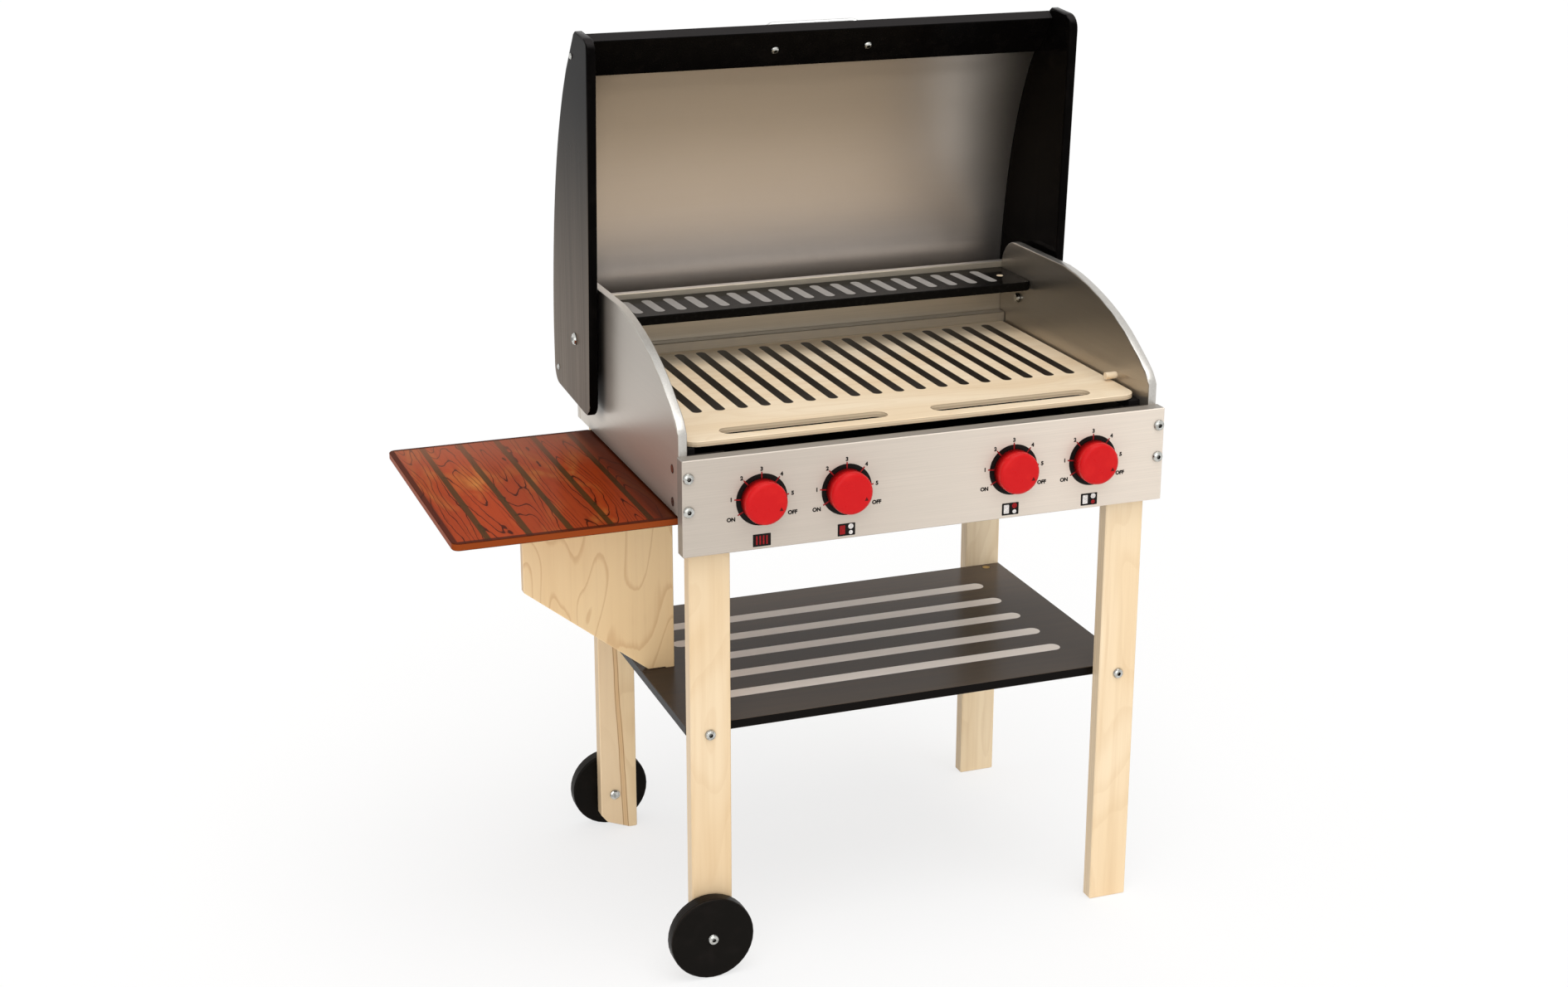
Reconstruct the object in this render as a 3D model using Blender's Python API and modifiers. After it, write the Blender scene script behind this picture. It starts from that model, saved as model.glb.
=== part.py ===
import math

import bmesh
import bpy
from mathutils import Matrix, Vector

# Clearances
FIT = 0.0003  # between fixed pieces that touch on the real toy
RUN = 0.0003  # radial play of a shaft in its hole
CUT = 0.002  # how far a cutter passes its surface

# Legs
LEG_SPAN = 0.400  # over the outer faces of the legs
LEG_WIDE = 0.0342
LEG_THICK = 0.0125
FRAME_DEEP = 0.2829  # front face of the front legs to rear face of the rear legs
LEG_SHORT = 0.0030  # legs end below the front panel's top edge
LEG_SOFT = 0.0008
TILT_FLAT = 0.0072  # level part of a wheel leg's foot
TILT_LOW = 0.0080  # heights of the two cuts that clear the floor when it is tipped
TILT_HIGH = 0.0155
TILT_IN = 0.0060

# Box
BOX_LOW = 0.3985  # floor to the box's lower edge
SIDE_THICK = 0.0076
SIDE_SOFT = 0.0008
SIDE_FRONT_TALL = 0.0675  # the upright front edge
SIDE_TALL = 0.1335
SIDE_SHOULDER_SHARE = 0.5656  # of the depth, where the level top starts
SIDE_REAR_ROUND = 0.0270
# Of the way back and up from the front edge's top to the shoulder
SIDE_BULGE_SHARES = ((0.044, 0.144), (0.1375, 0.306), (0.2875, 0.53), (0.4375, 0.694), (0.581, 0.811),
                     (0.719, 0.897), (0.856, 0.962))
PANEL_OVER = 0.0012  # front panel past each side panel
PANEL_THICK = 0.0126
PANEL_DROP = 0.0285  # front panel below the box's lower edge
PANEL_TALL = 0.0790
PANEL_SOFT = 0.0006
BACK_THICK = 0.0076
BACK_TALL = 0.1105
TRAY_THICK = 0.0040
RAIL_TALL = 0.0172
RAIL_THICK = 0.0110
RUNNER_WIDE = 0.0100
RUNNER_TALL = 0.0080

# Grate and rack
GRATE_OVER = 0.0015  # grate above the front panel's top edge
GRATE_THICK = 0.0045
GRATE_FRONT = 0.0130
GRATE_SIDE_GAP = 0.0025
GRATE_ROUND = 0.0130
GRATE_SOFT = 0.0005
SLOT_LONG_SHARE = 0.715  # of half the leg span
SLOT_OUT_SHARE = 0.455  # of half the leg span, to the middle of each finger slot
SLOT_WIDE = 0.0170
SLOT_ROUND_SHARE = 0.49  # of the slot's width
SLOT_BACK = 0.0200  # middle of the slots from the grate's front edge
PEG_RADIUS = 0.0030
PEG_OUT = 0.0100  # how far a peg stands into the box
PEG_IN = 0.0040
PEG_BACK_SHARE = 0.1997  # of the depth
PEG_OVER = 0.0016  # air between a peg and the grate
RACK_DOWN = 0.0050  # rack below the back panel's top edge
RACK_THICK = 0.0080
RACK_DEEP = 0.0640
RACK_ROUND = 0.0060
RACK_SOFT = 0.0006
DOWEL_RADIUS = 0.0030
DOWEL_IN = 0.0170  # from the side panel's inner face
DOWEL_SHARE = 0.4906  # of the rack's depth, from its front edge
DOWEL_UNDER = 0.0025
DOWEL_PROUD = 0.0003

# Shelf
SHELF_TOP = 0.2158
SHELF_THICK = 0.0080
SHELF_SOFT = 0.0005

# Side table
TABLE_OUT = 0.1850  # from the leg's outer face to the table's free edge
TABLE_IN = 0.0300  # tongue under the side panel
TABLE_FRONT = 0.0065
TABLE_SHORT = 0.0270  # table's rear edge before the rear legs' rear face
TABLE_THICK = 0.0060
TABLE_DROP = 0.0015  # below the side panel's lower edge
TONGUE_DROP = 0.0005  # tongue planed below the table's face
TABLE_ROUND = 0.0060
TABLE_SOFT = 0.0006
BRACKET_THICK = 0.0080
BRACKET_BACK_SHARE = 0.4913  # of the frame's depth
BRACKET_REACH_SHARE = 0.6047  # of the table's whole length
BRACKET_ARM_SHARE = 0.5212  # of the height between shelf and table, for the upright outer edge
BRACKET_FOOT = 0.0230
BRACKET_TAB_WIDE = 0.0075
BRACKET_TAB_DEEP = 0.0050
BRACKET_SOFT = 0.0006

# Fasteners
HEAD_RADIUS = 0.0046
HEAD_TALL = 0.0022
HEAD_SHARES = ((0, 1), (0.55, 1), (0.86, 0.72), (1, 0.2), (1, 0))  # of a head's radius and height
TAIL_SHARES = ((1, 0), (1, 0.6), (0.7, 1), (0, 1))  # of a cap nut's radius and height
SOCKET_ACROSS = 0.0032
SOCKET_DEEP = 0.0014
SHANK_RADIUS = 0.0018
NUT_RADIUS = 0.0036
PANEL_BOLT_SHARES = (0.178, 0.713)  # of the way up the panel from the box's lower edge
NUT_BACK = 0.0156  # nut centre behind the panel's rear face
SHELF_BOLT_SHARE = 0.4825  # of the leg's width, from its outer edge
SHELF_NUT_IN = 0.0080
SCREW_HEAD = 0.0027
SCREW_HEAD_TALL = 0.0010
SCREW_SLOPE_SHARE = 0.7  # of the screw head's radius
SCREW_RADIUS = 0.0011
SCREW_IN = 0.0120  # thread in the end of a bar

# Wheels
WHEEL_RADIUS = 0.0356
WHEEL_THICK = 0.0127
WHEEL_EDGE = 0.0018
WHEEL_EDGE_SHARE = 0.3  # of the edge's rounding
WHEEL_GAP = 0.0010
WHEEL_LEG_SHARE = 0.3801  # of the leg's width, from its outer edge
AXLE_RADIUS = 0.0028

# Knobs
KNOB_RADIUS = 0.0175
KNOB_TALL = 0.0135
KNOB_ROUND = 0.0035
KNOB_GAP = 0.0006
KNOB_UP_SHARE = 0.519  # of the panel's height
KNOB_SHARES = (-0.719, -0.3625, 0.3625, 0.719)  # of half the leg span
SPINDLE_RADIUS = 0.0028
COLLAR_RADIUS = 0.0055
COLLAR_THICK = 0.0018
COLLAR_GAP = 0.0005

# Lid, drawn about its hinge: back from the hinge, then up, with the lid open
HINGE_IN = 0.0380  # before the rear legs' rear face
HINGE_UP = 0.0845  # above the box's lower edge
LID_LEAN_TANGENT_SHARE = 0.05535  # forward for each unit up, with the lid open
LID_GAP = 0.0053  # between a side panel and the lid's side
LID_THICK = 0.0076
LID_SOFT = 0.0010
LID_OVERHANG = 0.0211  # closed lid past the front legs
LID_FORWARD = 0.0440  # hinge to the side boards' straight edge
LID_BELOW = 0.0590  # hinge to the side boards' lower edge
LID_DEEP = 0.0718  # hinge to the furthest point of the curved edge
LID_FRONT_ROUND = 0.0130
LID_LOW_ROUND = 0.0140
LID_REAR_ROUND = 0.0160
LID_START_SHARES = (0.9708, 1.1875)  # of the lid's depth, and of the rear rounding above the lower edge
# Of the lid's depth and of its height above the hinge
LID_CURVE_SHARES = ((1, -0.0286), (0.9944, 0.1053), (0.961, 0.238), (0.9025, 0.3684), (0.8217, 0.4883),
                    (0.727, 0.5902), (0.6114, 0.6838), (0.4666, 0.7782), (0.2981, 0.8654))
LID_NOSE_SHARE = -0.032  # of the lid's depth
LID_NOSE_DROP = 0.0020
LID_TIP = 0.0030
BOSS_RADIUS = 0.0075
BOSS_GAP = 0.0006
SKIN_THICK = 0.0025
SKIN_IN = 0.0010
TOP_BAR_THICK = 0.0100
TOP_BAR_IN = 0.0010
REAR_BAR_TALL = 0.0240
REAR_BAR_UP = 0.0040  # above the lid's bottom edge
STOP_GAP = 0.0004  # rear bar to back panel, with the lid open
BAR_SOFT = 0.0006
HINGE_RADIUS = 0.0025
HINGE_HEAD = 0.0054
HINGE_HEAD_TALL = 0.0024
HINGE_TAIL = 0.0045
HINGE_TAIL_TALL = 0.0030
HANDLE_HALF = 0.0426
HANDLE_STAND = 0.0190
HANDLE_RADIUS = 0.0025
HANDLE_BEND = 0.0070
HANDLE_FOOT = 0.0038
HANDLE_FOOT_TALL = 0.0022
HANDLE_BORE = 0.0060
HANDLE_SCREW_SHARE = 0.8  # of a bolt head's radius

# Roundness
ROUND = 16
FINE = 36
BEND_STEPS = 6

# Positions that follow
HALF = LEG_SPAN / 2
OUTSIDE = HALF + SIDE_THICK
LEG_IN = HALF - LEG_WIDE
REAR_LEG = FRAME_DEEP - LEG_THICK
BACK_IN = FRAME_DEEP + FIT
BACK_OUT = BACK_IN + BACK_THICK
BACK_HIGH = BOX_LOW + BACK_TALL
PANEL_LOW = BOX_LOW - PANEL_DROP
PANEL_HIGH = PANEL_LOW + PANEL_TALL
LEG_TOP = PANEL_HIGH - LEG_SHORT
GRATE_LOW = PANEL_HIGH + GRATE_OVER
GRATE_TOP = GRATE_LOW + GRATE_THICK
RACK_TOP = BACK_HIGH - RACK_DOWN
TABLE_TOP = BOX_LOW - TABLE_DROP
TABLE_LOW = TABLE_TOP - TABLE_THICK
TABLE_BACK = FRAME_DEEP - TABLE_SHORT
TRAY_LOW = TABLE_TOP - TONGUE_DROP + FIT
SHELF_LOW = SHELF_TOP - SHELF_THICK
SIDE_MIDDLE = HALF + SIDE_THICK / 2
SHELF_BOLT_OUT = HALF - LEG_WIDE * SHELF_BOLT_SHARE
WHEEL_OUT = HALF - LEG_WIDE * WHEEL_LEG_SHARE
KNOB_HEIGHT = PANEL_LOW + PANEL_TALL * KNOB_UP_SHARE
PANEL_BOLT_HEIGHTS = [BOX_LOW + (PANEL_HIGH - BOX_LOW) * share for share in PANEL_BOLT_SHARES]
BRACKET_INNER = TABLE_IN - HALF
BRACKET_BACK = FRAME_DEEP * BRACKET_BACK_SHARE
PIVOT_BACK = FRAME_DEEP - HINGE_IN
PIVOT_HIGH = BOX_LOW + HINGE_UP
LID_IN = OUTSIDE + LID_GAP
LID_OUT = LID_IN + LID_THICK
LID_TOP = PIVOT_BACK + LID_OVERHANG
LID_BOTTOM = -LID_BELOW
LID_LEAN = math.atan(LID_LEAN_TANGENT_SHARE)
LID_NOSE = (LID_DEEP * LID_NOSE_SHARE, LID_TOP - LID_NOSE_DROP)


def clear_scene():
    for item in list(bpy.data.objects):
        bpy.data.objects.remove(item, do_unlink=True)


def new_material(name, colour, rough, metal=0.0):
    made = bpy.data.materials.new(name)
    made.use_nodes = True
    shader = made.node_tree.nodes["Principled BSDF"]
    shader.inputs["Base Color"].default_value = (*colour, 1)
    shader.inputs["Roughness"].default_value = rough
    shader.inputs["Metallic"].default_value = metal
    return made


def new_object(name, bm, material=None, parent=None, cutter=False):
    bmesh.ops.recalc_face_normals(bm, faces=bm.faces)
    mesh = bpy.data.meshes.new(name)
    bm.to_mesh(mesh)
    bm.free()
    made = bpy.data.objects.new(name, mesh)
    if material:
        mesh.materials.append(material)
    home = CUTTERS if cutter else bpy.context.scene.collection
    home.objects.link(made)
    made.hide_render = cutter
    if cutter:
        made.display_type = "WIRE"
    made.parent = parent or ROOT
    return made


def new_empty(name, place, parent=None, lean=0.0):
    made = bpy.data.objects.new(name, None)
    bpy.context.scene.collection.objects.link(made)
    made.location = place
    made.rotation_euler.x = lean
    made.parent = parent
    return made


def placed(a, b, t, along):
    return {"X": (t, a, b), "Y": (a, t, b), "Z": (a, b, t)}[along]


def prism(name, outline, along, low, high, material=None, soft=0.0, parent=None, cutter=False):
    """A flat outline drawn in the two other axes, pushed out from low to high."""
    bm = bmesh.new()
    lower = [bm.verts.new(placed(a, b, low, along)) for a, b in outline]
    upper = [bm.verts.new(placed(a, b, high, along)) for a, b in outline]
    bm.faces.new(lower)
    bm.faces.new(upper)
    for i in range(len(outline)):
        j = (i + 1) % len(outline)
        bm.faces.new((lower[i], lower[j], upper[j], upper[i]))
    made = new_object(name, bm, material, parent, cutter)
    if soft:
        soften(made, soft)
    return made


def soften(made, width):
    edge = made.modifiers.new("soft_edges", "BEVEL")
    edge.width = width
    edge.segments = 1
    edge.limit_method = "ANGLE"
    edge.angle_limit = math.radians(40)


def box(name, low, high, material=None, soft=0.0, parent=None, cutter=False):
    outline = [(low[0], low[1]), (high[0], low[1]), (high[0], high[1]), (low[0], high[1])]
    return prism(name, outline, "Z", low[2], high[2], material, soft, parent, cutter)


def lathe(name, profile, along, place, material=None, parent=None, cutter=False, steps=ROUND):
    """(radius, position) pairs turned about an axis. A profile that starts off the axis is a closed ring."""
    bm = bmesh.new()
    rings = []
    for radius, position in profile:
        if radius == 0:
            rings.append([bm.verts.new(placed(0, 0, position, along))])
            continue
        ring = []
        for i in range(steps):
            turn = 2 * math.pi * i / steps
            spot = placed(radius * math.cos(turn), radius * math.sin(turn), position, along)
            ring.append(bm.verts.new(spot))
        rings.append(ring)
    pairs = list(zip(rings, rings[1:]))
    if profile[0][0] > 0:
        pairs.append((rings[-1], rings[0]))
    for one, two in pairs:
        for i in range(steps):
            j = (i + 1) % steps
            if len(one) == 1:
                bm.faces.new((one[0], two[i], two[j]))
            elif len(two) == 1:
                bm.faces.new((one[i], one[j], two[0]))
            else:
                bm.faces.new((one[i], one[j], two[j], two[i]))
    made = new_object(name, bm, material, parent, cutter)
    made.location = place
    return made


def cylinder(name, radius, along, place, low, high, material=None, parent=None, cutter=False, steps=ROUND):
    profile = [(0, low), (radius, low), (radius, high), (0, high)]
    return lathe(name, profile, along, place, material, parent, cutter, steps)


def cut(target, *cutters):
    for i, tool in enumerate(cutters):
        step = target.modifiers.new(f"cut_{i}", "BOOLEAN")
        step.operation = "DIFFERENCE"
        step.solver = "EXACT"
        step.object = tool


def hole(target, radius, along, place, low, high, parent=None, steps=ROUND):
    tool = cylinder(f"hole_{len(CUTTERS.objects)}", radius, along, place, low, high,
                    parent=parent, cutter=True, steps=steps)
    cut(target, tool)


def rounded(corners, steps=BEND_STEPS):
    """Corners are (a, b, radius); each radius becomes an arc that touches both sides."""
    made = []
    for i, (a, b, radius) in enumerate(corners):
        here = Vector((a, b))
        if not radius:
            made.append((a, b))
            continue
        before = (Vector(corners[i - 1][:2]) - here).normalized()
        after = (Vector(corners[(i + 1) % len(corners)][:2]) - here).normalized()
        half = before.angle(after) / 2
        centre = here + (before + after).normalized() * radius / math.sin(half)
        start = here + before * radius / math.tan(half) - centre
        end = here + after * radius / math.tan(half) - centre
        sweep = start.angle_signed(end)
        for k in range(steps + 1):
            turn = -sweep * k / steps
            made.append((centre.x + start.x * math.cos(turn) - start.y * math.sin(turn),
                         centre.y + start.x * math.sin(turn) + start.y * math.cos(turn)))
    return made


def offset_path(path, shift):
    """The path moved sideways, to the left of its direction."""
    made = []
    for i, point in enumerate(path):
        before = Vector(path[max(i - 1, 0)])
        after = Vector(path[min(i + 1, len(path) - 1)])
        way = (after - before).normalized()
        made.append((point[0] - way.y * shift, point[1] + way.x * shift))
    return made


def smooth_path(path, between=3):
    """Points added on a Catmull-Rom curve through the path."""
    made = []
    ends = [path[0], *path, path[-1]]
    for i in range(1, len(ends) - 2):
        a, b, c, d = (Vector(ends[k]) for k in (i - 1, i, i + 1, i + 2))
        for k in range(between):
            t = k / between
            spot = ((b * 2) + (c - a) * t + (a * 2 - b * 5 + c * 4 - d) * t * t
                    + (b * 3 - a - c * 3 + d) * t * t * t) / 2
            made.append((spot.x, spot.y))
    made.append(tuple(path[-1]))
    return made


def bolt(name, place, way, reach, material, head=HEAD_RADIUS, tall=HEAD_TALL, shank=SHANK_RADIUS,
         parent=None, tail=0.0, tail_tall=0.0):
    """A socket bolt whose head sits on place and whose shank runs along way."""
    profile = [(head * across, -tall * up) for across, up in HEAD_SHARES]
    profile += [(shank, 0), (shank, reach)]
    if tail:
        profile += [(tail * across, reach + tail_tall * up) for across, up in TAIL_SHARES]
    else:
        profile.append((0, reach))
    made = lathe(name, profile, "Z", place, material, parent)
    made.rotation_euler = Vector(way).to_track_quat("Z", "Y").to_euler()
    side = SOCKET_ACROSS / 2 / math.cos(math.pi / 6)
    cut(made, cylinder(f"socket_{name}", side, "Z", (0, 0, 0), -tall - CUT, -tall + SOCKET_DEEP,
                       parent=made, cutter=True, steps=6))
    return made


def barrel_nut(name, place, along, bolt_along, half, material, bolt_way):
    made = cylinder(name, NUT_RADIUS, along, place, -half, half, material)
    low, high = sorted((-bolt_way * (NUT_RADIUS + CUT), bolt_way * (SHANK_RADIUS + RUN)))
    tool = cylinder(f"thread_{name}", SHANK_RADIUS + RUN, bolt_along, (0, 0, 0), low, high,
                    parent=made, cutter=True, steps=12)
    cut(made, tool)
    return made


def build_legs():
    made = {}
    rest = -HALF + LEG_WIDE
    wheel_foot = [(rest, 0), (rest, LEG_TOP), (-HALF, LEG_TOP), (-HALF, TILT_HIGH),
                  (-HALF + TILT_IN, TILT_LOW), (rest - TILT_FLAT, 0)]
    plain_foot = [(LEG_IN, 0), (HALF, 0), (HALF, LEG_TOP), (LEG_IN, LEG_TOP)]
    for place, start in (("front", 0), ("rear", REAR_LEG)):
        for side, outline, sign in (("left", wheel_foot, -1), ("right", plain_foot, 1)):
            leg = prism(f"{place}_{side}_leg", outline, "Y", start, start + LEG_THICK, BIRCH, LEG_SOFT)
            hole(leg, SHANK_RADIUS + RUN, "Y", (sign * SHELF_BOLT_OUT, start, (SHELF_TOP + SHELF_LOW) / 2),
                 -CUT, LEG_THICK + CUT, steps=12)
            if side == "left":
                hole(leg, AXLE_RADIUS + RUN, "Y", (-WHEEL_OUT, start, WHEEL_RADIUS), -CUT, LEG_THICK + CUT)
            made[place, side] = leg
    return made


def side_outline():
    """Depth and height of the side panel's edge, from the front foot round to the rear foot."""
    high, shoulder = BOX_LOW + SIDE_TALL, FRAME_DEEP * SIDE_SHOULDER_SHARE
    start, end = Vector((0, BOX_LOW + SIDE_FRONT_TALL)), Vector((shoulder, high))
    bulge = [tuple(start)]
    for along, up in SIDE_BULGE_SHARES:
        bulge.append((start.x + (end.x - start.x) * along, start.y + (end.y - start.y) * up))
    bulge.append(tuple(end))
    curve = smooth_path(bulge, 2)
    rear = [(FRAME_DEEP, high, SIDE_REAR_ROUND), (FRAME_DEEP, BOX_LOW, 0)]
    tail = rounded([(shoulder, high, 0), *rear, (0, BOX_LOW, 0)])[1:]
    return curve + tail


def build_side(side, sign):
    low, high = sorted((sign * HALF, sign * OUTSIDE))
    panel = prism(f"{side}_side_panel", side_outline(), "X", low, high, FACED, SIDE_SOFT)
    middle = sign * SIDE_MIDDLE
    for height in PANEL_BOLT_HEIGHTS:
        hole(panel, SHANK_RADIUS + RUN, "Y", (middle, 0, height), -CUT, NUT_BACK, steps=12)
        hole(panel, NUT_RADIUS + FIT, "X", (middle, NUT_BACK, height), -SIDE_THICK, SIDE_THICK)
    hole(panel, HINGE_RADIUS + RUN, "X", (middle, PIVOT_BACK, PIVOT_HIGH), -SIDE_THICK, SIDE_THICK)
    peg_high, peg_back = GRATE_TOP + PEG_OVER + PEG_RADIUS, FRAME_DEEP * PEG_BACK_SHARE
    low, high = sorted((sign * (HALF - CUT), sign * (HALF + PEG_IN + FIT)))
    hole(panel, PEG_RADIUS + RUN, "X", (0, peg_back, peg_high), low, high)
    low, high = sorted((sign * (HALF - PEG_OUT), sign * (HALF + PEG_IN)))
    cylinder(f"grate_peg_{side}", PEG_RADIUS, "X", (0, peg_back, peg_high), low, high, BIRCH)
    runner_out = HALF - FIT
    low, high = sorted((sign * (runner_out - RUNNER_WIDE), sign * runner_out))
    runner_top = GRATE_LOW - FIT
    box(f"grate_runner_{side}", (low, LEG_THICK + FIT, runner_top - RUNNER_TALL),
        (high, REAR_LEG - FIT, runner_top), BIRCH, PANEL_SOFT)
    return panel


def build_front_panel():
    half = OUTSIDE + PANEL_OVER
    face = -PANEL_THICK - FIT
    panel = box("front_panel", (-half, face, PANEL_LOW), (half, -FIT, PANEL_HIGH), FACED, PANEL_SOFT)
    for share in KNOB_SHARES:
        hole(panel, SPINDLE_RADIUS + RUN, "Y", (HALF * share, 0, KNOB_HEIGHT), -PANEL_THICK - CUT, CUT)
    for side, sign in (("left", -1), ("right", 1)):
        for level, height in zip(("lower", "upper"), PANEL_BOLT_HEIGHTS):
            place = (sign * SIDE_MIDDLE, 0, height)
            hole(panel, SHANK_RADIUS + RUN, "Y", place, -PANEL_THICK - CUT, CUT, steps=12)
            bolt(f"panel_bolt_{side}_{level}", (place[0], face - FIT, height), (0, 1, 0),
                 NUT_BACK - face + FIT, ZINC)
            barrel_nut(f"panel_nut_{side}_{level}", (place[0], NUT_BACK, height), "X", "Y",
                       SIDE_THICK / 2, BRASS, 1)
    return panel


def build_box():
    back = box("back_panel", (-OUTSIDE, BACK_IN, BOX_LOW), (OUTSIDE, BACK_OUT, BACK_HIGH), FACED,
               PANEL_SOFT)
    inner = HALF - FIT
    rail_low = LEG_TOP + FIT
    box("rear_rail", (-inner, FRAME_DEEP - RAIL_THICK, rail_low),
        (inner, FRAME_DEEP - FIT, rail_low + RAIL_TALL), FACED, PANEL_SOFT)
    front, rear = FIT, FRAME_DEEP - FIT
    notch_in, notch_front, notch_rear = LEG_IN - FIT, LEG_THICK + FIT, REAR_LEG - FIT
    tray = [(-notch_in, front), (notch_in, front), (notch_in, notch_front), (inner, notch_front),
            (inner, notch_rear), (notch_in, notch_rear), (notch_in, rear), (-notch_in, rear),
            (-notch_in, notch_rear), (-inner, notch_rear), (-inner, notch_front), (-notch_in, notch_front)]
    prism("burner_tray", tray, "Z", TRAY_LOW, TRAY_LOW + TRAY_THICK, BLACK)
    rack_back = FRAME_DEEP - FIT
    rack_front = rack_back - RACK_DEEP
    outline = rounded([(-inner, rack_front, RACK_ROUND), (inner, rack_front, RACK_ROUND),
                       (inner, rack_back, 0), (-inner, rack_back, 0)])
    rack = prism("upper_rack", outline, "Z", RACK_TOP - RACK_THICK, RACK_TOP, RACK_BLACK, RACK_SOFT)
    for side, sign in (("left", -1), ("right", 1)):
        place = (sign * (HALF - DOWEL_IN), rack_front + RACK_DEEP * DOWEL_SHARE, RACK_TOP)
        hole(rack, DOWEL_RADIUS + RUN, "Z", place, -RACK_THICK - CUT, CUT)
        cylinder(f"rack_dowel_{side}", DOWEL_RADIUS, "Z", place, -RACK_THICK - DOWEL_UNDER, DOWEL_PROUD,
                 BIRCH)
    return back


def build_shelf():
    shelf = box("lower_shelf", (-HALF, LEG_THICK + FIT, SHELF_LOW), (HALF, REAR_LEG - FIT, SHELF_TOP),
                SHELF_DARK, SHELF_SOFT)
    middle = (SHELF_TOP + SHELF_LOW) / 2
    for side, sign in (("left", -1), ("right", 1)):
        for place, leg_face, way in (("front", 0, 1), ("rear", FRAME_DEEP, -1)):
            inner_face = leg_face + way * LEG_THICK
            nut = inner_face + way * SHELF_NUT_IN
            x = sign * SHELF_BOLT_OUT
            low, high = sorted((0, way * (SHELF_NUT_IN + CUT)))
            hole(shelf, SHANK_RADIUS + RUN, "Y", (x, inner_face, middle), low, high, steps=12)
            hole(shelf, NUT_RADIUS + FIT, "Z", (x, nut, middle), -SHELF_THICK, SHELF_THICK)
            bolt(f"shelf_bolt_{place}_{side}", (x, leg_face - way * FIT, middle), (0, way, 0),
                 LEG_THICK + SHELF_NUT_IN + FIT, ZINC)
            barrel_nut(f"shelf_nut_{place}_{side}", (x, nut, middle), "Z", "Y", SHELF_THICK / 2, BRASS, way)
    tab = tab_span()
    half = BRACKET_THICK / 2 + FIT
    low = (tab[0] - FIT, BRACKET_BACK - half, SHELF_TOP - BRACKET_TAB_DEEP - FIT)
    cut(shelf, box("slot_for_tab", low, (tab[1] + FIT, BRACKET_BACK + half, SHELF_TOP + CUT), cutter=True))
    return shelf


def tab_span():
    return BRACKET_INNER - BRACKET_TAB_WIDE, BRACKET_INNER


def build_table():
    outer = -HALF - TABLE_OUT
    step = -HALF - FIT
    inner = -HALF + TABLE_IN
    tongue_front = max(LEG_THICK + FIT, TABLE_FRONT)
    outline = rounded([(outer, TABLE_FRONT, TABLE_ROUND), (step, TABLE_FRONT, 0), (step, tongue_front, 0),
                       (inner, tongue_front, 0), (inner, TABLE_BACK, 0), (outer, TABLE_BACK, TABLE_ROUND)])
    table = prism("side_table", outline, "Z", TABLE_LOW, TABLE_TOP, TABLE_WOOD, TABLE_SOFT)
    cut(table, box("tongue_step", (-OUTSIDE - FIT, TABLE_FRONT - CUT, TABLE_TOP - TONGUE_DROP),
                   (inner + CUT, TABLE_BACK + CUT, TABLE_TOP + CUT), cutter=True))
    top, foot = TABLE_LOW - FIT, SHELF_TOP + FIT
    far = BRACKET_INNER - (TABLE_OUT + TABLE_IN) * BRACKET_REACH_SHARE
    elbow = top - (top - foot) * BRACKET_ARM_SHARE
    tab, tab_low = tab_span(), SHELF_TOP - BRACKET_TAB_DEEP
    outline = [(far, top), (far, elbow), (BRACKET_INNER - BRACKET_FOOT, foot), (tab[0], foot),
               (tab[0], tab_low), (tab[1], tab_low), (tab[1], top)]
    prism("table_bracket", outline, "Y", BRACKET_BACK - BRACKET_THICK / 2, BRACKET_BACK + BRACKET_THICK / 2,
          BIRCH, BRACKET_SOFT)


def build_grate():
    wide = HALF - GRATE_SIDE_GAP
    rear = FRAME_DEEP - RAIL_THICK - FIT
    slide = new_empty("grate_slide", (0, GRATE_FRONT, GRATE_LOW), ROOT)
    outline = rounded([(-wide, 0, GRATE_ROUND), (wide, 0, GRATE_ROUND),
                       (wide, rear - GRATE_FRONT, 0), (-wide, rear - GRATE_FRONT, 0)])
    grate = prism("grate", outline, "Z", 0, GRATE_THICK, BIRCH, GRATE_SOFT, parent=slide)
    for sign in (-1, 1):
        half = HALF * SLOT_LONG_SHARE / 2
        middle = sign * HALF * SLOT_OUT_SHARE
        low, high, bend = SLOT_BACK - SLOT_WIDE / 2, SLOT_BACK + SLOT_WIDE / 2, SLOT_WIDE * SLOT_ROUND_SHARE
        outline = rounded([(middle - half, low, bend), (middle + half, low, bend),
                           (middle + half, high, bend), (middle - half, high, bend)])
        cut(grate, prism(f"finger_slot_{sign}", outline, "Z", -CUT, GRATE_THICK + CUT,
                         parent=slide, cutter=True))
    return grate


def build_knobs():
    face = -PANEL_THICK - FIT
    start = -KNOB_GAP
    front = start - KNOB_TALL
    collar = PANEL_THICK + COLLAR_GAP
    profile = [(0, front)]
    for k in range(4):
        turn = math.pi / 2 * k / 3
        profile.append((KNOB_RADIUS - KNOB_ROUND * (1 - math.sin(turn)),
                        front + KNOB_ROUND * (1 - math.cos(turn))))
    profile += [(KNOB_RADIUS, start), (SPINDLE_RADIUS, start), (SPINDLE_RADIUS, collar),
                (COLLAR_RADIUS, collar), (COLLAR_RADIUS, collar + COLLAR_THICK), (0, collar + COLLAR_THICK)]
    for i, share in enumerate(KNOB_SHARES):
        lathe(f"knob_{i + 1}", profile, "Y", (HALF * share, face, KNOB_HEIGHT), RED, steps=FINE)


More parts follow.
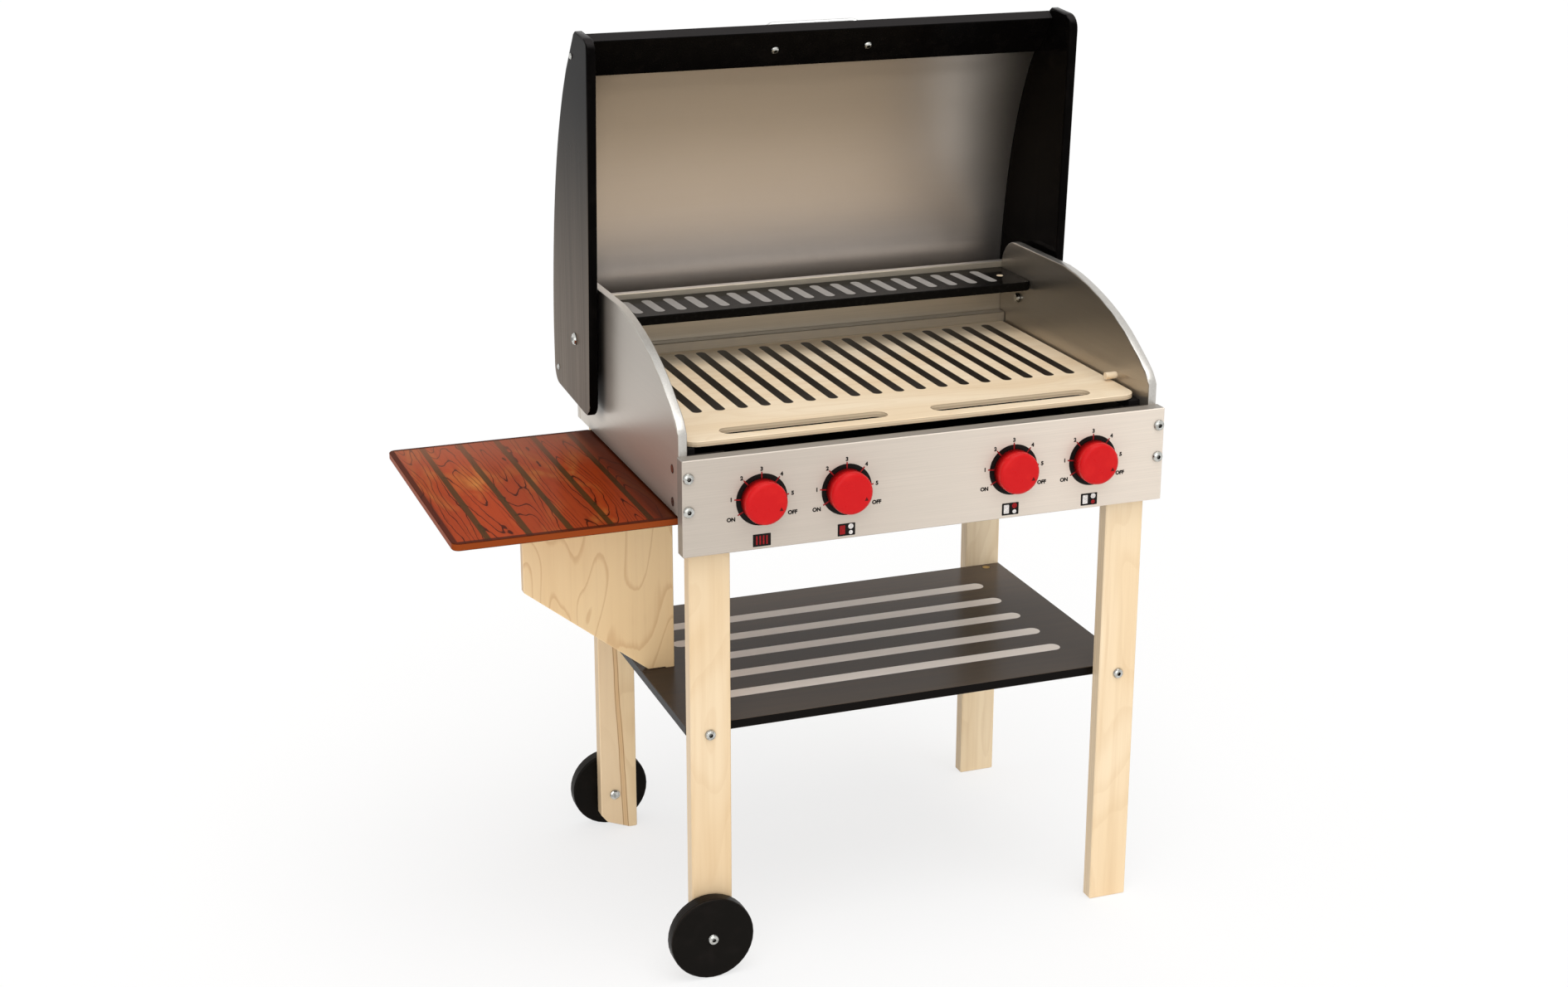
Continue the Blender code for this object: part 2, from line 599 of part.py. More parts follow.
def build_wheels():
    bore = AXLE_RADIUS + RUN
    edge, half_edge = WHEEL_EDGE, WHEEL_EDGE * WHEEL_EDGE_SHARE
    for place, leg_face, way in (("front", 0, -1), ("rear", FRAME_DEEP, 1)):
        near, far = WHEEL_GAP, WHEEL_GAP + WHEEL_THICK
        profile = [(bore, near), (WHEEL_RADIUS - edge, near), (WHEEL_RADIUS - half_edge, near + half_edge),
                   (WHEEL_RADIUS, near + edge), (WHEEL_RADIUS, far - edge),
                   (WHEEL_RADIUS - half_edge, far - half_edge), (WHEEL_RADIUS - edge, far), (bore, far)]
        lathe(f"{place}_wheel", [(r, way * t) for r, t in profile], "Y",
              (-WHEEL_OUT, leg_face, WHEEL_RADIUS), WHEEL_BLACK, steps=FINE)
        head = leg_face + way * (WHEEL_GAP + WHEEL_THICK + FIT)
        reach = WHEEL_GAP + WHEEL_THICK + FIT + LEG_THICK + FIT
        bolt(f"{place}_wheel_axle", (-WHEEL_OUT, head, WHEEL_RADIUS), (0, -way, 0), reach, ZINC,
             shank=AXLE_RADIUS, tail=HEAD_RADIUS, tail_tall=HEAD_TALL)


def lid_rear_curve():
    start_depth, start_up = LID_START_SHARES
    path = [(LID_DEEP * start_depth, LID_BOTTOM + LID_REAR_ROUND * start_up)]
    path += [(LID_DEEP * back, LID_TOP * up) for back, up in LID_CURVE_SHARES]
    return smooth_path(path, 2)


def lid_outline():
    curve = lid_rear_curve()
    low = rounded([(-LID_FORWARD, LID_TOP, LID_FRONT_ROUND), (-LID_FORWARD, LID_BOTTOM, LID_LOW_ROUND),
                   (curve[0][0], LID_BOTTOM, LID_REAR_ROUND), (*curve[0], 0), (*LID_NOSE, 0)])
    return low[:-2] + curve + [LID_NOSE, (LID_NOSE[0] - LID_TIP, LID_TOP)]


def nose_frame():
    """The slanted top bar: its outer lower corner, and the directions along it and out of it."""
    low, high = Vector(lid_rear_curve()[-1]), Vector(LID_NOSE)
    way = (high - low).normalized()
    return low, way, Vector((way.y, -way.x)), (high - low).length


def rear_bar_box():
    lean = math.cos(LID_LEAN), math.sin(LID_LEAN)
    low = LID_BOTTOM + REAR_BAR_UP
    high = low + REAR_BAR_TALL
    front = (BACK_OUT + STOP_GAP - PIVOT_BACK + high * lean[1]) / lean[0]
    return front, low, high


def build_lid():
    hinge = new_empty("lid_hinge", (0, PIVOT_BACK, PIVOT_HIGH), ROOT, LID_LEAN)
    low, way, out, long = nose_frame()
    outer = low - out * TOP_BAR_IN
    inward = -out * TOP_BAR_THICK
    corners = [outer, outer + way * long, outer + way * long + inward, outer + inward]
    width = LID_IN - FIT
    top_bar = prism("lid_top_bar", [tuple(c) for c in corners], "X", -width, width, BLACK, BAR_SOFT, hinge)
    bar_middle = outer + way * long / 2 - out * TOP_BAR_THICK / 2

    front, bar_low, bar_high = rear_bar_box()
    curve = lid_rear_curve()
    skin_out = offset_path(curve, SKIN_IN)
    skin_in = offset_path(curve, SKIN_IN + SKIN_THICK)
    depth = min(p for p, q in skin_in if q < bar_high + CUT) - FIT
    bar_outline = [(front, bar_low), (depth, bar_low), (depth, bar_high), (front, bar_high)]
    rear_bar = prism("lid_rear_bar", bar_outline, "X", -width, width, BLACK, BAR_SOFT, hinge)
    for path in (skin_out, skin_in):
        end = Vector(path[-1])
        path[-1] = tuple(end - way * ((end - outer).dot(way) + FIT))
    prism("lid_skin", skin_out + skin_in[::-1], "X", -width, width, SHEET, parent=hinge)

    rear_middle = Vector(((front + depth) / 2, (bar_low + bar_high) / 2))
    for side, sign in (("left", -1), ("right", 1)):
        x_low, x_high = sorted((sign * LID_IN, sign * LID_OUT))
        board = prism(f"lid_{side}_side", lid_outline(), "X", x_low, x_high, BLACK, LID_SOFT, hinge)
        boss_end = sign * (OUTSIDE + BOSS_GAP)
        b_low, b_high = sorted((boss_end, sign * (LID_IN + LID_SOFT)))
        boss = cylinder(f"boss_{side}", BOSS_RADIUS, "X", (0, 0, 0), b_low, b_high,
                        parent=hinge, cutter=True)
        join = board.modifiers.new("boss", "BOOLEAN")
        join.operation, join.solver, join.object = "UNION", "EXACT", boss
        span = sorted((sign * (OUTSIDE - CUT), sign * (LID_OUT + CUT)))
        hole(board, HINGE_RADIUS + RUN, "X", (0, 0, 0), *span, parent=hinge)
        head = sign * (LID_OUT + FIT)
        reach = LID_THICK + LID_GAP + SIDE_THICK + 2 * FIT
        bolt(f"hinge_bolt_{side}", (head, PIVOT_BACK, PIVOT_HIGH), (-sign, 0, 0), reach, ZINC, HINGE_HEAD,
             HINGE_HEAD_TALL, HINGE_RADIUS, tail=HINGE_TAIL, tail_tall=HINGE_TAIL_TALL)
        for name, bar, spot in (("top", top_bar, bar_middle), ("rear", rear_bar, rear_middle)):
            place = (0, spot.x, spot.y)
            span = sorted((sign * (LID_IN - CUT), sign * (LID_OUT + CUT)))
            hole(board, SCREW_RADIUS + RUN, "X", place, *span, parent=hinge, steps=12)
            span = sorted((sign * (width - SCREW_IN - RUN), sign * (width + CUT)))
            hole(bar, SCREW_RADIUS + RUN, "X", place, *span, parent=hinge, steps=12)
            small_screw(f"lid_screw_{side}_{name}", (head, spot.x, spot.y), (-sign, 0, 0),
                        LID_THICK + SCREW_IN + FIT, hinge)
    build_handle(hinge, top_bar, outer + way * long / 2, out)


def small_screw(name, place, way, reach, parent):
    profile = [(0, -SCREW_HEAD_TALL), (SCREW_HEAD * SCREW_SLOPE_SHARE, -SCREW_HEAD_TALL), (SCREW_HEAD, 0),
               (SCREW_RADIUS, 0), (SCREW_RADIUS, reach), (0, reach)]
    made = lathe(name, profile, "Z", place, ZINC, parent, steps=16)
    made.rotation_euler = Vector(way).to_track_quat("Z", "Y").to_euler()
    return made


def build_handle(hinge, top_bar, seat, out):
    """A bent rod on two round feet, standing out of the top bar."""
    frame = Matrix.Translation((0, seat.x, seat.y)) @ Matrix(
        ((1, 0, 0, 0), (0, -out.y, out.x, 0), (0, out.x, out.y, 0), (0, 0, 0, 1)))
    path = []
    for sign in (-1, 1):
        arc = []
        for k in range(BEND_STEPS + 1):
            turn = math.pi / 2 * k / BEND_STEPS
            arc.append((sign * (HANDLE_HALF - HANDLE_BEND * (1 - math.cos(turn))),
                        HANDLE_STAND - HANDLE_BEND * (1 - math.sin(turn))))
        path += arc if sign < 0 else arc[::-1]
    ends = [(-HANDLE_HALF, HANDLE_FOOT_TALL), *path, (HANDLE_HALF, HANDLE_FOOT_TALL)]
    sections = [(-HANDLE_HALF, FIT, HANDLE_FOOT), (-HANDLE_HALF, HANDLE_FOOT_TALL, HANDLE_FOOT)]
    sections += [(x, z, HANDLE_RADIUS) for x, z in ends]
    sections += [(HANDLE_HALF, HANDLE_FOOT_TALL, HANDLE_FOOT), (HANDLE_HALF, FIT, HANDLE_FOOT)]
    bm = bmesh.new()
    rings = []
    for i, (x, z, radius) in enumerate(sections):
        if i < 3 or i > len(sections) - 4:
            way = Vector((0, 0, 1 if i < 3 else -1))
        else:
            before, after = sections[i - 1], sections[i + 1]
            way = Vector((after[0] - before[0], 0, after[1] - before[1])).normalized()
        side = Vector((0, 1, 0))
        other = way.cross(side)
        ring = []
        for k in range(16):
            turn = 2 * math.pi * k / 16
            spot = Vector((x, 0, z)) + (side * math.cos(turn) + other * math.sin(turn)) * radius
            ring.append(bm.verts.new(frame @ spot))
        rings.append(ring)
    bm.faces.new(rings[0])
    bm.faces.new(rings[-1])
    for one, two in zip(rings, rings[1:]):
        for k in range(16):
            j = (k + 1) % 16
            bm.faces.new((one[k], one[j], two[j], two[k]))
    handle = new_object("lid_handle", bm, SILVER, hinge)
    inward = -Vector((0, out.x, out.y))
    for side, sign in (("left", -1), ("right", 1)):
        x = sign * HANDLE_HALF
        tool = cylinder(f"handle_bore_{side}", SCREW_RADIUS + RUN, "Z", (0, 0, 0), -HANDLE_BORE - FIT,
                        CUT, parent=hinge, cutter=True, steps=12)
        tool.location = (x, seat.x, seat.y)
        tool.rotation_euler = inward.to_track_quat("Z", "Y").to_euler()
        cut(handle, tool)
        through = cylinder(f"bar_bore_{side}", SCREW_RADIUS + RUN, "Z", (0, 0, 0), -CUT,
                           TOP_BAR_THICK + CUT, parent=hinge, cutter=True, steps=12)
        through.location = (x, seat.x, seat.y)
        through.rotation_euler = inward.to_track_quat("Z", "Y").to_euler()
        cut(top_bar, through)
        base = Vector((x, seat.x, seat.y)) + inward * (TOP_BAR_THICK + FIT)
        screw = bolt(f"handle_screw_{side}", base, -inward, TOP_BAR_THICK + HANDLE_BORE, ZINC,
                     HEAD_RADIUS * HANDLE_SCREW_SHARE, HEAD_TALL, SCREW_RADIUS, hinge)
        screw.location = base


def middle_of_base():
    """The whole object's middle, which becomes the frame's origin on the floor."""
    back = max(PIVOT_BACK + p * math.cos(LID_LEAN) - q * math.sin(LID_LEAN) for p, q in lid_outline())
    front = -(PANEL_THICK + FIT + KNOB_GAP + KNOB_TALL)
    right = LID_OUT + FIT + HINGE_HEAD_TALL
    return (right - HALF - TABLE_OUT) / 2, (front + back) / 2


clear_scene()
MIDDLE = middle_of_base()
ROOT = new_empty("frame_origin", (-MIDDLE[0], -MIDDLE[1], 0))
CUTTERS = bpy.data.collections.new("cutters")
bpy.context.scene.collection.children.link(CUTTERS)

FACED = new_material("brushed_face", (0.62, 0.56, 0.50), 0.38, 0.55)
BIRCH = new_material("birch", (0.86, 0.70, 0.45), 0.55)
BLACK = new_material("black_lacquer", (0.012, 0.011, 0.011), 0.30)
RACK_BLACK = new_material("rack_print", (0.012, 0.011, 0.010), 0.18)
SHEET = new_material("lid_sheet", (0.42, 0.38, 0.33), 0.35, 0.7)
SHELF_DARK = new_material("shelf_print", (0.068, 0.056, 0.050), 0.45)
TABLE_WOOD = new_material("table_print", (0.30, 0.085, 0.035), 0.30)
RED = new_material("red_lacquer", (0.70, 0.012, 0.010), 0.30)
WHEEL_BLACK = new_material("wheel_black", (0.012, 0.010, 0.009), 0.50)
ZINC = new_material("zinc", (0.62, 0.62, 0.60), 0.25, 1.0)
BRASS = new_material("brass", (0.60, 0.47, 0.25), 0.30, 1.0)
SILVER = new_material("handle_silver", (0.75, 0.75, 0.74), 0.22, 1.0)

build_legs()
build_side("left", -1)
build_side("right", 1)
build_front_panel()
build_box()
build_shelf()
build_table()
build_grate()
build_knobs()
build_wheels()
build_lid()
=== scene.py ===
import math

import bmesh
import bpy
from mathutils import Matrix, Vector


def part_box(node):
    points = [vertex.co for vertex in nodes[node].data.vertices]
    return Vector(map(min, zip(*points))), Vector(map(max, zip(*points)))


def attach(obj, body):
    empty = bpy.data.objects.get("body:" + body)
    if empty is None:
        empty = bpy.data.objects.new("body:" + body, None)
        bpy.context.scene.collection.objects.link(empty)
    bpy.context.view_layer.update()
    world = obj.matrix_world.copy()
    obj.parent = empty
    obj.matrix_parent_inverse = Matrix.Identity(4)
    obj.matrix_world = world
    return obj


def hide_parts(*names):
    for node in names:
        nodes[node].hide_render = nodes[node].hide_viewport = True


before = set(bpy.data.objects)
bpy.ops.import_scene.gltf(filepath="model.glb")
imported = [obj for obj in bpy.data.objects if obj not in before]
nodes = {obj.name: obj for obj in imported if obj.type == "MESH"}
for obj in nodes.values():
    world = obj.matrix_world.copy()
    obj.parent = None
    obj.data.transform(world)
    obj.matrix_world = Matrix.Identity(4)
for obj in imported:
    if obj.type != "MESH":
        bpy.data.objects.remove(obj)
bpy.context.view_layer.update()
print("frame loaded:", len(nodes), "nodes")


def newObject(name, data):
    made = bpy.data.objects.new(name, data)
    bpy.context.scene.collection.objects.link(made)
    return made


# Camera, in metres and radians, and in the pixels of a 1890 x 1190 picture
cameraSet = {
    "place": (-0.6479, -1.7724, 0.9987),
    "heading": 0.3375,  # from +Y towards +X
    "pitch": -0.2961,
    "roll": -0.0047,
    "focalPixels": 2808.25,
    "middle": (890.85, 507.73),
    "picture": (1890, 1190),
    "sensor": 36.0,
    "sees": 200,
}


def makeCamera(spec):
    data = bpy.data.cameras.new("pictureCamera")
    wide, high = spec["picture"]
    data.sensor_width = spec["sensor"]
    data.lens = spec["focalPixels"] * spec["sensor"] / wide
    data.shift_x = (wide / 2 - spec["middle"][0]) / wide
    data.shift_y = (spec["middle"][1] - high / 2) / wide
    data.clip_end = spec["sees"]
    camera = newObject("pictureCamera", data)
    turn = Matrix.Rotation(-spec["heading"], 4, "Z")
    turn = turn @ Matrix.Rotation(math.pi / 2 + spec["pitch"], 4, "X")
    roll = Matrix.Rotation(spec["roll"], 4, "Z")
    camera.matrix_world = Matrix.Translation(spec["place"]) @ turn @ roll
    bpy.context.scene.camera = camera


# Helpers for the node trees

def newNode(tree, kind, **settings):
    made = tree.nodes.new(kind)
    for name, value in settings.items():
        setattr(made, name, value)
    return made


def feed(tree, socket, value):
    # a socket is linked, anything else is set
    if isinstance(value, bpy.types.NodeSocket):
        tree.links.new(value, socket)
    else:
        socket.default_value = value


def feedAll(tree, made, *values):
    for socket, value in zip(made.inputs, values):
        feed(tree, socket, value)
    return made.outputs[0]


def calc(tree, how, first, second=0.0, third=0.0):
    return feedAll(tree, newNode(tree, "ShaderNodeMath", operation=how), first, second, third)


def times(tree, one, two):
    return calc(tree, "MULTIPLY", one, two)


def plus(tree, one, two):
    return calc(tree, "ADD", one, two)


def minus(tree, one, two):
    return calc(tree, "SUBTRACT", one, two)


def between(tree, value, low, high, start=0.0, end=1.0):
    # a soft step from start, at low, to end, at high
    made = newNode(tree, "ShaderNodeMapRange", interpolation_type="SMOOTHSTEP")
    return feedAll(tree, made, value, low, high, start, end)


def mixShader(tree, share, one, two):
    return feedAll(tree, newNode(tree, "ShaderNodeMixShader"), share, one, two)


def rgb(colour):
    return (*colour, 1.0)


def mixColour(tree, share, one, two, how="MIX"):
    made = newNode(tree, "ShaderNodeMix", data_type="RGBA", blend_type=how)
    feed(tree, made.inputs[0], share)
    feed(tree, made.inputs[6], rgb(one) if isinstance(one, tuple) else one)
    feed(tree, made.inputs[7], rgb(two) if isinstance(two, tuple) else two)
    return made.outputs[2]


def startFinish(name, rough, metal, gloss):
    made = bpy.data.materials.new(name)
    made.use_nodes = True
    tree = made.node_tree
    shader = tree.nodes["Principled BSDF"]
    feed(tree, shader.inputs["Roughness"], rough)
    feed(tree, shader.inputs["Metallic"], metal)
    feed(tree, shader.inputs["Specular IOR Level"], gloss)
    where = newNode(tree, "ShaderNodeTexCoord")
    return made, tree, shader, where


# Studio: a pale floor, an even sky and two soft lamps from the front
studio = {
    "floor": (0.92, 0.92, 0.92),
    "floorSize": 60.0,
    "floorLow": -0.0002,
    "floorRough": 0.9,
    "floorGloss": 0.1,
    "floorGlow": 0.7,  # how much plain white is seen in the floor
    "sky": (1.0, 0.985, 0.965),
    "skyStrength": 0.62,
    "backdrop": (1.0, 1.0, 1.0),
    "backdropStrength": 1.0,
    "keyStrength": 1.40,
    "keySoft": math.radians(50),
    "keyTilt": (math.radians(17), 0, math.radians(6)),
    "fillStrength": 1.20,
    "fillSoft": math.radians(70),
    "fillTilt": (math.radians(79), 0, math.radians(-26)),
}


def seenPlainly(tree):
    # 1 for what the camera sees, straight, in a reflection or through glass
    path = newNode(tree, "ShaderNodeLightPath")
    seen = calc(tree, "MAXIMUM", path.outputs["Is Camera Ray"], path.outputs["Is Glossy Ray"])
    return calc(tree, "MAXIMUM", seen, path.outputs["Is Transmission Ray"])


def makeSky(spec):
    world = bpy.context.scene.world or bpy.data.worlds.new("studioSky")
    bpy.context.scene.world = world
    world.use_nodes = True
    tree = world.node_tree
    tree.nodes.clear()
    both = [feedAll(tree, newNode(tree, "ShaderNodeBackground"), rgb(spec[name]),
                    spec[name + "Strength"]) for name in ("sky", "backdrop")]
    end = newNode(tree, "ShaderNodeOutputWorld")
    feed(tree, end.inputs["Surface"], mixShader(tree, seenPlainly(tree), *both))


def makeLamps(spec):
    for name in ("key", "fill"):
        lamp = bpy.data.lights.new(name + "Lamp", "SUN")
        lamp.energy = spec[name + "Strength"]
        lamp.angle = spec[name + "Soft"]
        newObject(name + "Lamp", lamp).rotation_euler = spec[name + "Tilt"]


def makeFloor(spec):
    bm = bmesh.new()
    bmesh.ops.create_grid(bm, x_segments=1, y_segments=1, size=spec["floorSize"] / 2)
    mesh = bpy.data.meshes.new("floor")
    bm.to_mesh(mesh)
    bm.free()
    floor = newObject("floor", mesh)
    floor.location.z = spec["floorLow"]
    paint, tree, shader, _ = startFinish("paleFloor", spec["floorRough"], 0.0, spec["floorGloss"])
    feed(tree, shader.inputs["Base Color"], rgb(spec["floor"]))
    glow = newNode(tree, "ShaderNodeEmission")
    share = times(tree, seenPlainly(tree), spec["floorGlow"])
    both = mixShader(tree, share, shader.outputs[0], glow.outputs[0])
    feed(tree, tree.nodes["Material Output"].inputs["Surface"], both)
    mesh.materials.append(paint)


# Helpers that the finishes share
middleRange = (0.3, 0.7)  # most of a noise lies between these
wideRange = (0.2, 0.8)
facingLeast = 0.6  # of a normal, along the axis that a face looks along


def axes(tree, vector):
    made = newNode(tree, "ShaderNodeSeparateXYZ")
    feed(tree, made.inputs[0], vector)
    return made.outputs


def placeOf(tree, where):
    return axes(tree, where.outputs["Object"])


def normalOf(tree, where):
    return axes(tree, where.outputs["Normal"])


def stretched(tree, where, scale, shift=(0, 0, 0)):
    made = newNode(tree, "ShaderNodeMapping")
    feed(tree, made.inputs["Vector"], where.outputs["Object"])
    feed(tree, made.inputs["Scale"], scale)
    feed(tree, made.inputs["Location"], shift)
    return made.outputs[0]


def noise(tree, vector, detail, rough, twist=0.0):
    made = newNode(tree, "ShaderNodeTexNoise")
    feed(tree, made.inputs["Vector"], vector)
    feed(tree, made.inputs["Scale"], 1.0)
    feed(tree, made.inputs["Detail"], detail)
    feed(tree, made.inputs["Roughness"], rough)
    feed(tree, made.inputs["Distortion"], twist)
    return made.outputs["Fac"]


def mottle(tree, where, scale, detail, rough, twist=0.0, shift=(0, 0, 0)):
    # scale: one number, or one for each axis
    if isinstance(scale, float):
        scale = (scale, scale, scale)
    return noise(tree, stretched(tree, where, scale, shift), detail, rough, twist)


def grained(tree, where, grain, across, along, detail, rough, twist=0.0, shift=(0, 0, 0)):
    # grain: the axis that the noise is drawn out along
    scale = [across, across, across]
    scale["XYZ".index(grain)] = along
    return mottle(tree, where, tuple(scale), detail, rough, twist, shift)


def bump(tree, shader, height, strength, distance):
    made = newNode(tree, "ShaderNodeBump")
    feed(tree, made.inputs["Height"], height)
    feed(tree, made.inputs["Strength"], strength)
    feed(tree, made.inputs["Distance"], distance)
    feed(tree, shader.inputs["Normal"], made.outputs[0])


def facing(tree, where, axis, least=facingLeast):
    # 1 on faces that look along the axis, either way
    side = calc(tree, "ABSOLUTE", normalOf(tree, where)["XYZ".index(axis)])
    return calc(tree, "GREATER_THAN", side, least)


def upward(tree, where):
    return calc(tree, "GREATER_THAN", normalOf(tree, where)[2], facingLeast)


def openness(tree, reach, samples):
    # 1 in the open, less where another face is within reach
    made = newNode(tree, "ShaderNodeAmbientOcclusion", samples=samples)
    feed(tree, made.inputs["Distance"], reach)
    return made.outputs["AO"]


def shade(tree, colour, share):
    # a colour made lighter or darker by a number
    made = newNode(tree, "ShaderNodeVectorMath", operation="SCALE")
    feed(tree, made.inputs[0], colour)
    feed(tree, made.inputs["Scale"], share)
    return made.outputs[0]


def tuned(colour, share):
    return tuple(min(part * share, 1.0) for part in colour)


def bars(tree, across, along, spec):
    # a row of round-ended bars: 1 inside them
    offset = minus(tree, across, spec["middle"])
    step, half = spec["pitch"], spec["wide"] / 2
    shift = step / 2 if spec["count"] % 2 == 0 else 0.0
    near = calc(tree, "WRAP", plus(tree, offset, shift), step / 2, -step / 2)
    past = calc(tree, "MAXIMUM", minus(tree, spec["low"] + half, along),
                minus(tree, along, spec["high"] - half))
    past = calc(tree, "MAXIMUM", past, 0.0)
    apart = calc(tree, "SQRT", plus(tree, times(tree, near, near), times(tree, past, past)))
    inside = between(tree, apart, half - spec["blur"], half + spec["blur"], 1.0, 0.0)
    edge = calc(tree, "LESS_THAN", calc(tree, "ABSOLUTE", offset), step * spec["count"] / 2)
    return times(tree, inside, edge)


# Birch ply: pale veneer with a soft figure, and its layers on the cut edges
birch = {
    "pale": (0.82, 0.655, 0.445),
    "warm": (0.76, 0.57, 0.35),
    "figure": (0.60, 0.385, 0.185),
    "figureTone": 0.14,
    "rings": 8.0,
    "ringWaver": 0.25,
    "late": 0.45,  # where in a ring the dark wood starts
    "lateFull": 0.93,
    "ringEnd": 0.94,
    "streak": (0.42, 0.75),
    "streakTone": 0.22,
    "layerLight": (0.70, 0.52, 0.32),
    "layerDark": (0.34, 0.21, 0.11),
    "layer": 0.0028,  # one light and one dark layer
    "layerTurn": (0.16, 0.34),  # of a layer, where light turns to dark
    "layerWaver": 0.0004,
    "layerStreak": 0.5,
    "edgeTone": 0.2,  # how plainly the edges show the layers
    "legTopShade": (0.010, 0.008, 0.007),
    "legTopShadeFrom": (0.43, 0.44),
    "rough": 0.42,
    "roughSpread": (-0.06, 0.1),
    "gloss": 0.25,
    "bump": (0.2, 0.0002),
    "fibreNoise": {"across": 170.0, "along": 5.0, "detail": 4.0, "rough": 0.6},
    "cloudNoise": {"across": 21.0, "along": 6.0, "detail": 0.8, "rough": 0.35, "twist": 0.5,
                   "shift": (3.1, 1.7, 0.4)},
}
grateBirch = dict(birch, pale=(0.88, 0.735, 0.54), warm=(0.83, 0.665, 0.46), figureTone=0.1,
                  layerLight=(0.78, 0.62, 0.43), layerDark=(0.52, 0.37, 0.22), edgeTone=0.6)
dowelBirch = dict(grateBirch, figureTone=0.3, edgeTone=0.2)
# The copies for the bracket and three of the legs are paler than the plain birch: painted light
# against the shade under the table and the box
bracketBirch = dict(birch, pale=(0.93, 0.70, 0.41), warm=(0.90, 0.645, 0.355),
                    figure=(0.60, 0.33, 0.14), figureTone=0.38, rings=13.0, late=0.76,
                    streakTone=0.10, edgeTone=0.6)
heartBirch = dict(birch, pale=(0.92, 0.735, 0.48), warm=(0.88, 0.67, 0.41), figureTone=0.2,
                  edgeTone=0.55)
rearLegPaintedLightBirch = dict(birch, pale=(0.96, 0.80, 0.57), warm=(0.92, 0.73, 0.48), edgeTone=0.55)
frontLegPaintedLightBirch = dict(birch, pale=(0.88, 0.715, 0.50), warm=(0.83, 0.64, 0.41), edgeTone=0.3)


def birchColour(tree, where, spec, grain, thickness):
    # grain: the axis the fibres run along; thickness: the axis through the board
    fibre = grained(tree, where, grain, **spec["fibreNoise"])
    cloud = grained(tree, where, grain, **spec["cloudNoise"])
    colour = mixColour(tree, between(tree, cloud, *middleRange), spec["pale"], spec["warm"])
    # growth rings darken slowly and end sharply
    ring = plus(tree, times(tree, cloud, spec["rings"]), times(tree, fibre, spec["ringWaver"]))
    ring = calc(tree, "FRACT", ring)
    late = times(tree, between(tree, ring, spec["late"], spec["lateFull"]),
                 between(tree, ring, spec["ringEnd"], 1.0, 1.0, 0.0))
    colour = mixColour(tree, times(tree, late, spec["figureTone"]), colour, spec["figure"])
    streak = between(tree, fibre, *spec["streak"])
    colour = mixColour(tree, times(tree, streak, spec["streakTone"]), colour, spec["figure"])
    # the layers on the edges
    at = placeOf(tree, where)["XYZ".index(thickness)]
    wave = plus(tree, at, times(tree, fibre, spec["layerWaver"]))
    wave = calc(tree, "PINGPONG", wave, spec["layer"] / 2)
    dark = between(tree, wave, *[spec["layer"] * share for share in spec["layerTurn"]])
    layers = mixColour(tree, dark, spec["layerLight"], spec["layerDark"])
    layers = mixColour(tree, times(tree, streak, spec["layerStreak"]), layers, spec["layerDark"])
    layers = mixColour(tree, 1.0 - spec["edgeTone"], layers, spec["pale"])
    face = facing(tree, where, thickness)
    return mixColour(tree, face, layers, colour), fibre, face


def birchFinish(name, spec, grain, thickness):
    made, tree, shader, where = startFinish(name, spec["rough"], 0.0, spec["gloss"])
    colour, fibre, _ = birchColour(tree, where, spec, grain, thickness)
    if grain == "Z":
        # painted shade: the tops of the legs, inside the box, are darkened to near black like the
        # tray
        high = between(tree, placeOf(tree, where)[2], *spec["legTopShadeFrom"])
        colour = mixColour(tree, times(tree, upward(tree, where), high), colour, spec["legTopShade"])
    feed(tree, shader.inputs["Base Color"], colour)
    spread = [spec["rough"] + part for part in spec["roughSpread"]]
    feed(tree, shader.inputs["Roughness"], between(tree, fibre, *middleRange, *spread))
    bump(tree, shader, fibre, *spec["bump"])
    return made


# The rear left leg is cut across the heartwood: two brown lines that lean across it
heartwood = {
    "foot": -0.0955,
    "lean": 0.043,
    "wander": 0.004,
    "wanderNoise": {"scale": (0.0, 0.0, 11.0), "detail": 2.0, "rough": 0.5},
    "apart": (0.0022, 0.0013),  # half the distance between the lines, at the foot and high up
    "height": 0.30,
    "wide": 0.0007,
    "plain": 0.2,  # of a line's width, at full tone
    "tone": 0.75,
    "colour": (0.40, 0.19, 0.065),
    "halo": (0.70, 0.45, 0.22),
    "haloWide": 0.0035,
    "left": (0.90, 0.69, 0.45),
    "leftFade": (0.001, -0.003),
    "leftTone": 0.7,
}


def heartLegFinish(name, spec, heart):
    made, tree, shader, where = startFinish(name, spec["rough"], 0.0, spec["gloss"])
    colour, fibre, face = birchColour(tree, where, spec, "Z", "Y")
    at = placeOf(tree, where)
    wander = mottle(tree, where, **heart["wanderNoise"])
    line = minus(tree, heart["foot"], times(tree, at[2], heart["lean"]))
    line = plus(tree, line, times(tree, minus(tree, wander, 0.5), heart["wander"]))
    past = minus(tree, at[0], line)
    apart = calc(tree, "ABSOLUTE", past)
    left = between(tree, past, *heart["leftFade"])
    left = times(tree, left, times(tree, face, heart["leftTone"]))
    colour = mixColour(tree, left, colour, heart["left"])
    halo = between(tree, apart, 0.0, heart["haloWide"], heart["tone"], 0.0)
    colour = mixColour(tree, times(tree, halo, face), colour, heart["halo"])
    half = between(tree, at[2], 0.0, heart["height"], *heart["apart"])
    twin = calc(tree, "ABSOLUTE", minus(tree, apart, half))
    core = between(tree, twin, heart["wide"] * heart["plain"], heart["wide"], heart["tone"], 0.0)
    colour = mixColour(tree, times(tree, core, face), colour, heart["colour"])
    feed(tree, shader.inputs["Base Color"], colour)
    bump(tree, shader, fibre, *spec["bump"])
    return made


